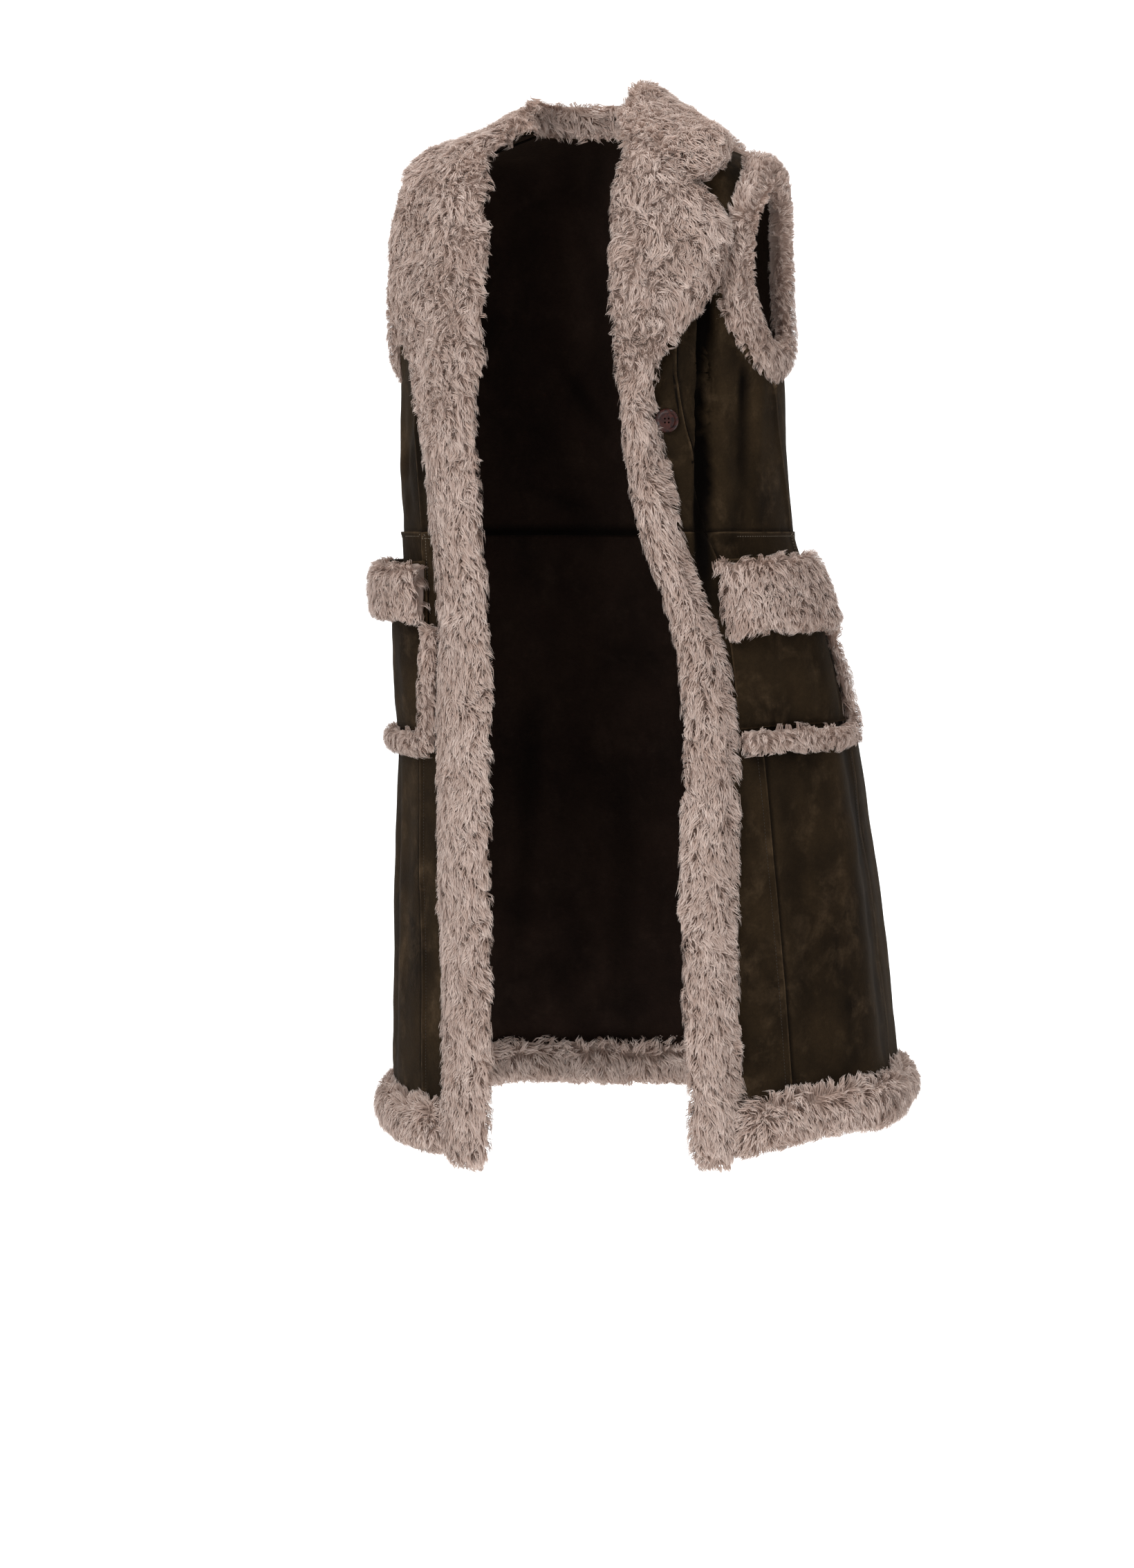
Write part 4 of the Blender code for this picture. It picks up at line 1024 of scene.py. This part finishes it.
def pile_backing(node, curl, how):
    """Backing of a trim: its solid drawn in by the height of the pile, but not where it lies on
    the cloth or meets another trim, which it reaches there. It holds how the pile grows at each
    point: comb, rise, curl, stature and grow."""
    backing, mesh = even_mesh(node, how)
    core = mesh.copy()
    smoothed(core, CORE_ROUNDS)
    outward = [v.co - c.co for v, c in zip(mesh.verts, core.verts)]
    core.free()
    own = BVHTree.FromBMesh(mesh)
    first = [v.co.copy() for v in mesh.verts]
    free = []
    depths = []
    covered = []
    drawn_in = {}
    for vertex in mesh.verts:
        gap, spot, is_cloth = nearest_neighbour(node, vertex.co)
        free.append(eased(gap, *INSET_GAPS))
        way = spot - vertex.co
        below, facing, _, near = cloth_outer.find_nearest(vertex.co)
        height = (vertex.co - below).dot(facing)
        sunk = near < CLOTH_REACH and height < BARE_UNDER and vertex.normal.dot(facing) > 0
        covered.append(sunk or (is_cloth and gap < COVERED_GAP and vertex.normal.dot(way) > 0.25 * gap))
        _, _, _, thick = own.ray_cast(vertex.co - vertex.normal * 0.0004, -vertex.normal, FAR)
        depths.append(min(how["inset"], INSET_SHARE * (thick or FAR)) * (1 - curl(vertex.co)[2]))
        if near < THIN_NEAR:
            _, _, _, over = own.ray_cast(below + facing * RAY_START, -facing, RAY_START + 0.002)
            in_wall = how["bed"] and near < WALL_NEAR and height < TOUCH_DEEP
            if in_wall or (over is not None and over > RAY_START - THIN_OVER):
                drawn_in[vertex.index] = wall_middle(below, facing)
        if gap < TOUCH_GAPS[1]:
            reach = (gap if is_cloth else 0.5 * gap) + TOUCH_DEEP
            first[vertex.index] += way.normalized() * reach * (1 - eased(gap, *TOUCH_GAPS))
    if how["bed"]:
        close_patches(mesh, drawn_in)
    for _ in range(4):
        smoothed(mesh, 1)
        mesh.normal_update()
        for vertex, depth in zip(mesh.verts, depths):
            vertex.co -= vertex.normal * (depth / 4)
    for vertex, start, share in zip(mesh.verts, first, free):
        vertex.co = drawn_in.get(vertex.index, start.lerp(vertex.co, share))
    mesh.normal_update()
    layers = {label: mesh.verts.layers.float.new(label) for label in ("rise", "curl", "stature", "grow")}
    comb_layer = mesh.verts.layers.float_vector.new("comb")
    lumps = []
    for vertex, out, hidden in zip(mesh.verts, outward, covered):
        normal = vertex.normal
        spot = vertex.co * WANDER_WAVE + Vector((how["seed"] * 7.3, 0, 0))
        parted = (out - normal * out.dot(normal)) * (how["parting"] / 0.012)
        wanted = how["comb"](vertex.co, normal) + parted + how["wander"] * 2.2 * noise.noise_vector(spot)
        flat = wanted - normal * wanted.dot(normal)
        vertex[comb_layer] = flat.normalized() if flat.length > 1e-4 else Vector((0, 0, -1))
        vertex[layers["rise"]] = eased(out.dot(normal), *RIM_BEND)
        vertex[layers["curl"]], vertex[layers["stature"]], _ = curl(vertex.co)
        turned_in = normal.y > 0.5 and "front_trim" in node
        bare = hidden or vertex.index in drawn_in
        vertex[layers["grow"]] = 0.0 if bare else 0.45 if turned_in else 1.0
        lumps.append(normal * sum(high * noise.noise(vertex.co * wave) for high, wave in PILE_LUMPS))
    for vertex, lump, share in zip(mesh.verts, lumps, free):
        vertex.co += lump * (0 if vertex.index in drawn_in else share)
    mesh.to_mesh(backing.data)
    mesh.free()
    backing.data.materials.clear()
    backing.data.materials.append(PILE)
    backing.data.shade_smooth()
    return backing


def pile_strands(name, backing, how):
    """The clumps of one trim, grown on its backing and made one mesh."""
    pile = finished_object(name, backing.data.copy())
    grower = pile.modifiers.new("grower", "NODES")
    grower.node_group = PILE_TREE
    set_inputs(grower, {
        "Clumps": clumps,
        "Cloth": cloth_guard,
        "Spacing": how["spacing"],
        "Length": how["length"],
        "Height": how["inset"] + how["proud"],
        "Ruffle": 0.16,
        "Swirl": how["swirl"],
        "Sway": how["sway"],
        "Seed": how["seed"],
        "Finish": PILE,
    })
    baked(pile)
    for label in ("comb", "rise", "curl", "stature", "grow", "outside"):
        if label in pile.data.attributes:
            pile.data.attributes.remove(pile.data.attributes[label])
    return pile


def even_curl(point):
    """How much the pile curls at a point, how long it is there, and how far the backing comes out
    to the solid's surface to carry it further."""
    return 1.0, 1.0, 0.0


# What a trim is like unless its section says otherwise: how far the pile's tips may stand over the
# solid, the squares of its backing, how close to the cloth its underside sinks, its ends' run up,
# the way from clump to clump, and how it is held.
TRIM_HABITS = {
    "proud": 0.0038,
    "voxel": 0.0070,
    "bed": 0.0,
    "run_up": 0.0,
    "spacing": 0.0037,
    "held": "hung",
}


def add_trim(node, curl=even_curl, **how):
    """One pile trim: backing and strands in place of its solid."""
    how = {**TRIM_HABITS, **how}
    backing = pile_backing(node, curl, how)
    pile = pile_strands(node + "_pile", backing, how)
    for label, value in GROUND_TONE.items():
        ground = backing.data.attributes.new(label, "FLOAT", "POINT")
        ground.data.foreach_set("value", [value] * len(ground.data))
    for piece in (backing, pile):
        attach(piece, "root")
    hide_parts(node)


# ---------------------------------------------------------------------------------------------
# Front trims with their lapels. Pile strips down both front edges, widening into turned lapels.


def front_comb(point, normal):
    return Vector((0, -0.05, -1.0))


def lapel_curl(point):
    """The lapels curl more than the edging under them, and are shorter."""
    lapel = eased(point.z, -0.46, -0.30)
    outer_corner = lapel * eased(abs(point.x), 0.165, 0.200)
    return 0.7 + 0.8 * lapel, 1.45 - 0.45 * lapel + 0.35 * outer_corner, 0.95 * outer_corner


for number, (word, wide) in enumerate((("left", 0.060), ("right", 0.085))):
    add_trim(
        "front_trim_" + word, curl=lapel_curl, inset=0.0085, comb=front_comb, parting=0.75, wander=0.40,
        length=1.05, swirl=1.5, sway=0.016, seed=3 + number, cut=(wide, 1.15),
    )


# ---------------------------------------------------------------------------------------------
# Collar. One piece of the same pile that stands at the neck and falls over the shoulders.


def collar_comb(point, normal):
    return Vector((point.x, point.y - 0.02, 0)).normalized() + Vector((0, 0, -0.35))


def collar_curl(point):
    """The collar is fullest at its front points and at its top, and close over the back."""
    front_point = eased(abs(point.x), 0.145, 0.185) * eased(-point.y, -0.01, 0.03)
    top = eased(point.z, 0.030, 0.050)
    behind = eased(abs(point.x), 0.10, 0.15) * eased(point.y, 0.0, 0.05)
    return 1.0, 1.0 + 0.25 * front_point - 0.40 * behind, max(0.9 * front_point, 0.9 * top)


add_trim(
    "collar", curl=collar_curl, inset=0.0085, proud=0.0075, voxel=0.0046, bed=0.0090, comb=collar_comb,
    parting=0.55, wander=0.55, length=1.25, swirl=1.7, sway=0.022, seed=9, cut=(0.62, 0.13), held="draped",
)


# ---------------------------------------------------------------------------------------------
# Hem band. A pile strip turned round the lower edge, all the way round the skirt.


def hem_comb(point, normal):
    return Vector((0.25 * normal.x, 0.25 * normal.y, -0.8))


add_trim(
    "hem_trim", inset=0.0070, proud=0.0085, comb=hem_comb, parting=1.2, wander=0.18, spacing=0.0044,
    length=1.65, swirl=1.2, sway=0.010, seed=12, cut=(1.42, 0.055),
)


# ---------------------------------------------------------------------------------------------
# Armhole trims. Narrow rolls of pile round both armholes.

ARMHOLE_HEART = {"left": Vector((0.225, 0.002, -0.168)), "right": Vector((-0.225, 0.002, -0.168))}
for number, (word, heart) in enumerate(ARMHOLE_HEART.items()):

    def armhole_comb(point, normal, heart=heart):
        ray = point - heart
        ray.x = 0
        outward = 1 if heart.x > 0 else -1
        return ray.normalized() * 0.7 + Vector((outward * 0.4, 0, -0.35))

    def armhole_curl(point):
        """The rolls are fuller over the shoulder."""
        return 0.8, 1.0, 0.9 * eased(point.z, -0.09, -0.05)

    add_trim(
        "armhole_trim_" + word, curl=armhole_curl, inset=0.0070, comb=armhole_comb, parting=0.6,
        wander=0.35, length=1.1, swirl=1.1, sway=0.012, seed=15 + number, cut=(0.030, 0.60),
    )


# ---------------------------------------------------------------------------------------------
# Pocket cuffs and piping. Shaggy pile over each pocket's mouth, a thin strip round its edges.


def hanging_comb(point, normal):
    return Vector((0.15 * normal.x, 0.15 * normal.y, -1.0))


for number, (word, piping_cut) in enumerate((("left", (0.018, 0.40)), ("right", (0.022, 0.50)))):
    add_trim(
        "pocket_cuff_" + word, inset=0.0100, proud=0.0030, comb=hanging_comb, parting=0.35, wander=0.30,
        length=1.35, swirl=1.3, sway=0.012, seed=19 + number, cut=(0.18, 0.095),
    )
    add_trim(
        "pocket_piping_" + word, inset=0.0028, proud=0.0055, run_up=0.0110, comb=hanging_comb, parting=0.8,
        wander=0.30, length=1.25, swirl=1.2, sway=0.010, seed=23 + number, cut=piping_cut,
    )

bpy.data.objects.remove(cloth_guard)


# ---------------------------------------------------------------------------------------------
# Button. A polished horn-look disc with a raised rim and four holes, sewn on by thread.

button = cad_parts["button"]
HORN, horn_tree, horn_shader = new_material("oxblood_horn")
horn_place = horn_tree.nodes.new("ShaderNodeTexCoord").outputs["Object"]
horn_grain = {"Vector": horn_place, "Scale": 120.0, "Distortion": 1.5}
horn_swirl = add_node(horn_tree, "ShaderNodeTexNoise", horn_grain)
horn_ramp = add_node(horn_tree, "ShaderNodeValToRGB", {"Fac": horn_swirl.outputs["Fac"]})
dark_horn, red_horn = horn_ramp.color_ramp.elements
dark_horn.position, dark_horn.color = 0.35, (0.0060, 0.0014, 0.0012, 1.0)
red_horn.position, red_horn.color = 0.75, (0.042, 0.0080, 0.0045, 1.0)
fill(horn_tree, horn_shader, {
    "Base Color": horn_ramp.outputs["Color"],
    "Roughness": 0.24,
    "Specular IOR Level": 0.30,
    "Coat Weight": 0.15,
    "Coat Roughness": 0.10,
})
button.data.materials.clear()
button.data.materials.append(HORN)


# ---------------------------------------------------------------------------------------------
# Studio. A pale sweep, soft light from above and both sides, and the camera at the photo's angle.

SCALE_AT_AXIS = 0.00082  # metres for one pixel of the 1640 x 2268 frame, at the body's axis
CAMERA_AWAY = 3.7
CAMERA_TURN = math.radians(27)
CAMERA_LEVEL = -0.47
AXIS_COLUMN, HORIZON_ROW = 850, 763
FRAME_WIDE, FRAME_TALL = 1640, 2268
FLOOR_LEVEL = -1.66

camera_data = bpy.data.cameras.new("camera")
camera = finished_object("camera", camera_data)
camera.location = (
    CAMERA_AWAY * math.sin(CAMERA_TURN),
    -CAMERA_AWAY * math.cos(CAMERA_TURN),
    CAMERA_LEVEL,
)
camera.rotation_euler = (math.pi / 2, 0, CAMERA_TURN)
camera_data.sensor_fit = "VERTICAL"
camera_data.sensor_height = 36
camera_data.lens = 36 * CAMERA_AWAY / SCALE_AT_AXIS / FRAME_TALL
camera_data.shift_x = (FRAME_WIDE / 2 - AXIS_COLUMN) / FRAME_TALL
camera_data.shift_y = -(FRAME_TALL / 2 - HORIZON_ROW) / FRAME_TALL
bpy.context.scene.camera = camera

SWEEP_TURNS = 14
SWEEP_BACK = 7.0
SWEEP_BEND = 1.4
SWEEP_FRONT = -5.0
SWEEP_HALF_WIDE = 9.0
sweep = bmesh.new()
rows = []
profile = [(SWEEP_FRONT, FLOOR_LEVEL)] + [
    (SWEEP_BACK - SWEEP_BEND * (1 - math.sin(a)), FLOOR_LEVEL + SWEEP_BEND * (1 - math.cos(a)))
    for a in (math.pi / 2 * i / SWEEP_TURNS for i in range(SWEEP_TURNS + 1))
] + [(SWEEP_BACK, FLOOR_LEVEL + SWEEP_BACK)]
for x in (-SWEEP_HALF_WIDE, SWEEP_HALF_WIDE):
    rows.append([sweep.verts.new((x, y, z)) for y, z in profile])
for i in range(len(profile) - 1):
    sweep.faces.new((rows[0][i], rows[1][i], rows[1][i + 1], rows[0][i + 1]))
backdrop = finished_object("backdrop", mesh_data("sweep", sweep))
backdrop.data.shade_smooth()
backdrop.rotation_euler = (0, 0, CAMERA_TURN)
paper, paper_tree, paper_shader = new_material("paper")
fill(paper_tree, paper_shader, {
    "Base Color": (0.86, 0.86, 0.86, 1),
    "Roughness": 0.9,
    "Emission Color": (1, 1, 1, 1),
    "Emission Strength": 0.55,
})
backdrop.data.materials.append(paper)

world = bpy.data.worlds.new("room")
world.use_nodes = True
world.node_tree.nodes["Background"].inputs["Color"].default_value = (1.0, 1.0, 1.0, 1)
world.node_tree.nodes["Background"].inputs["Strength"].default_value = 0.62
bpy.context.scene.world = world
bpy.context.scene.view_settings.view_transform = "Standard"

LIGHT_COLUMNS = ("name", "place", "size", "watts")
LIGHTS = (
    ("key", (-0.3, -3.4, 1.8), 1.5, 120.0),
    ("fill", (3.2, -2.2, 0.4), 2.2, 30.0),
    ("top", (0.3, 0.6, 2.6), 2.0, 60.0),
)
for row in LIGHTS:
    light = dict(zip(LIGHT_COLUMNS, row))
    lamp_data = bpy.data.lights.new(light["name"], "AREA")
    lamp_data.size = light["size"]
    lamp_data.energy = light["watts"]
    lamp = finished_object(light["name"], lamp_data)
    lamp.location = light["place"]
    lamp.rotation_euler = (Vector((0, 0, -0.6)) - lamp.location).to_track_quat("-Z", "Y").to_euler()
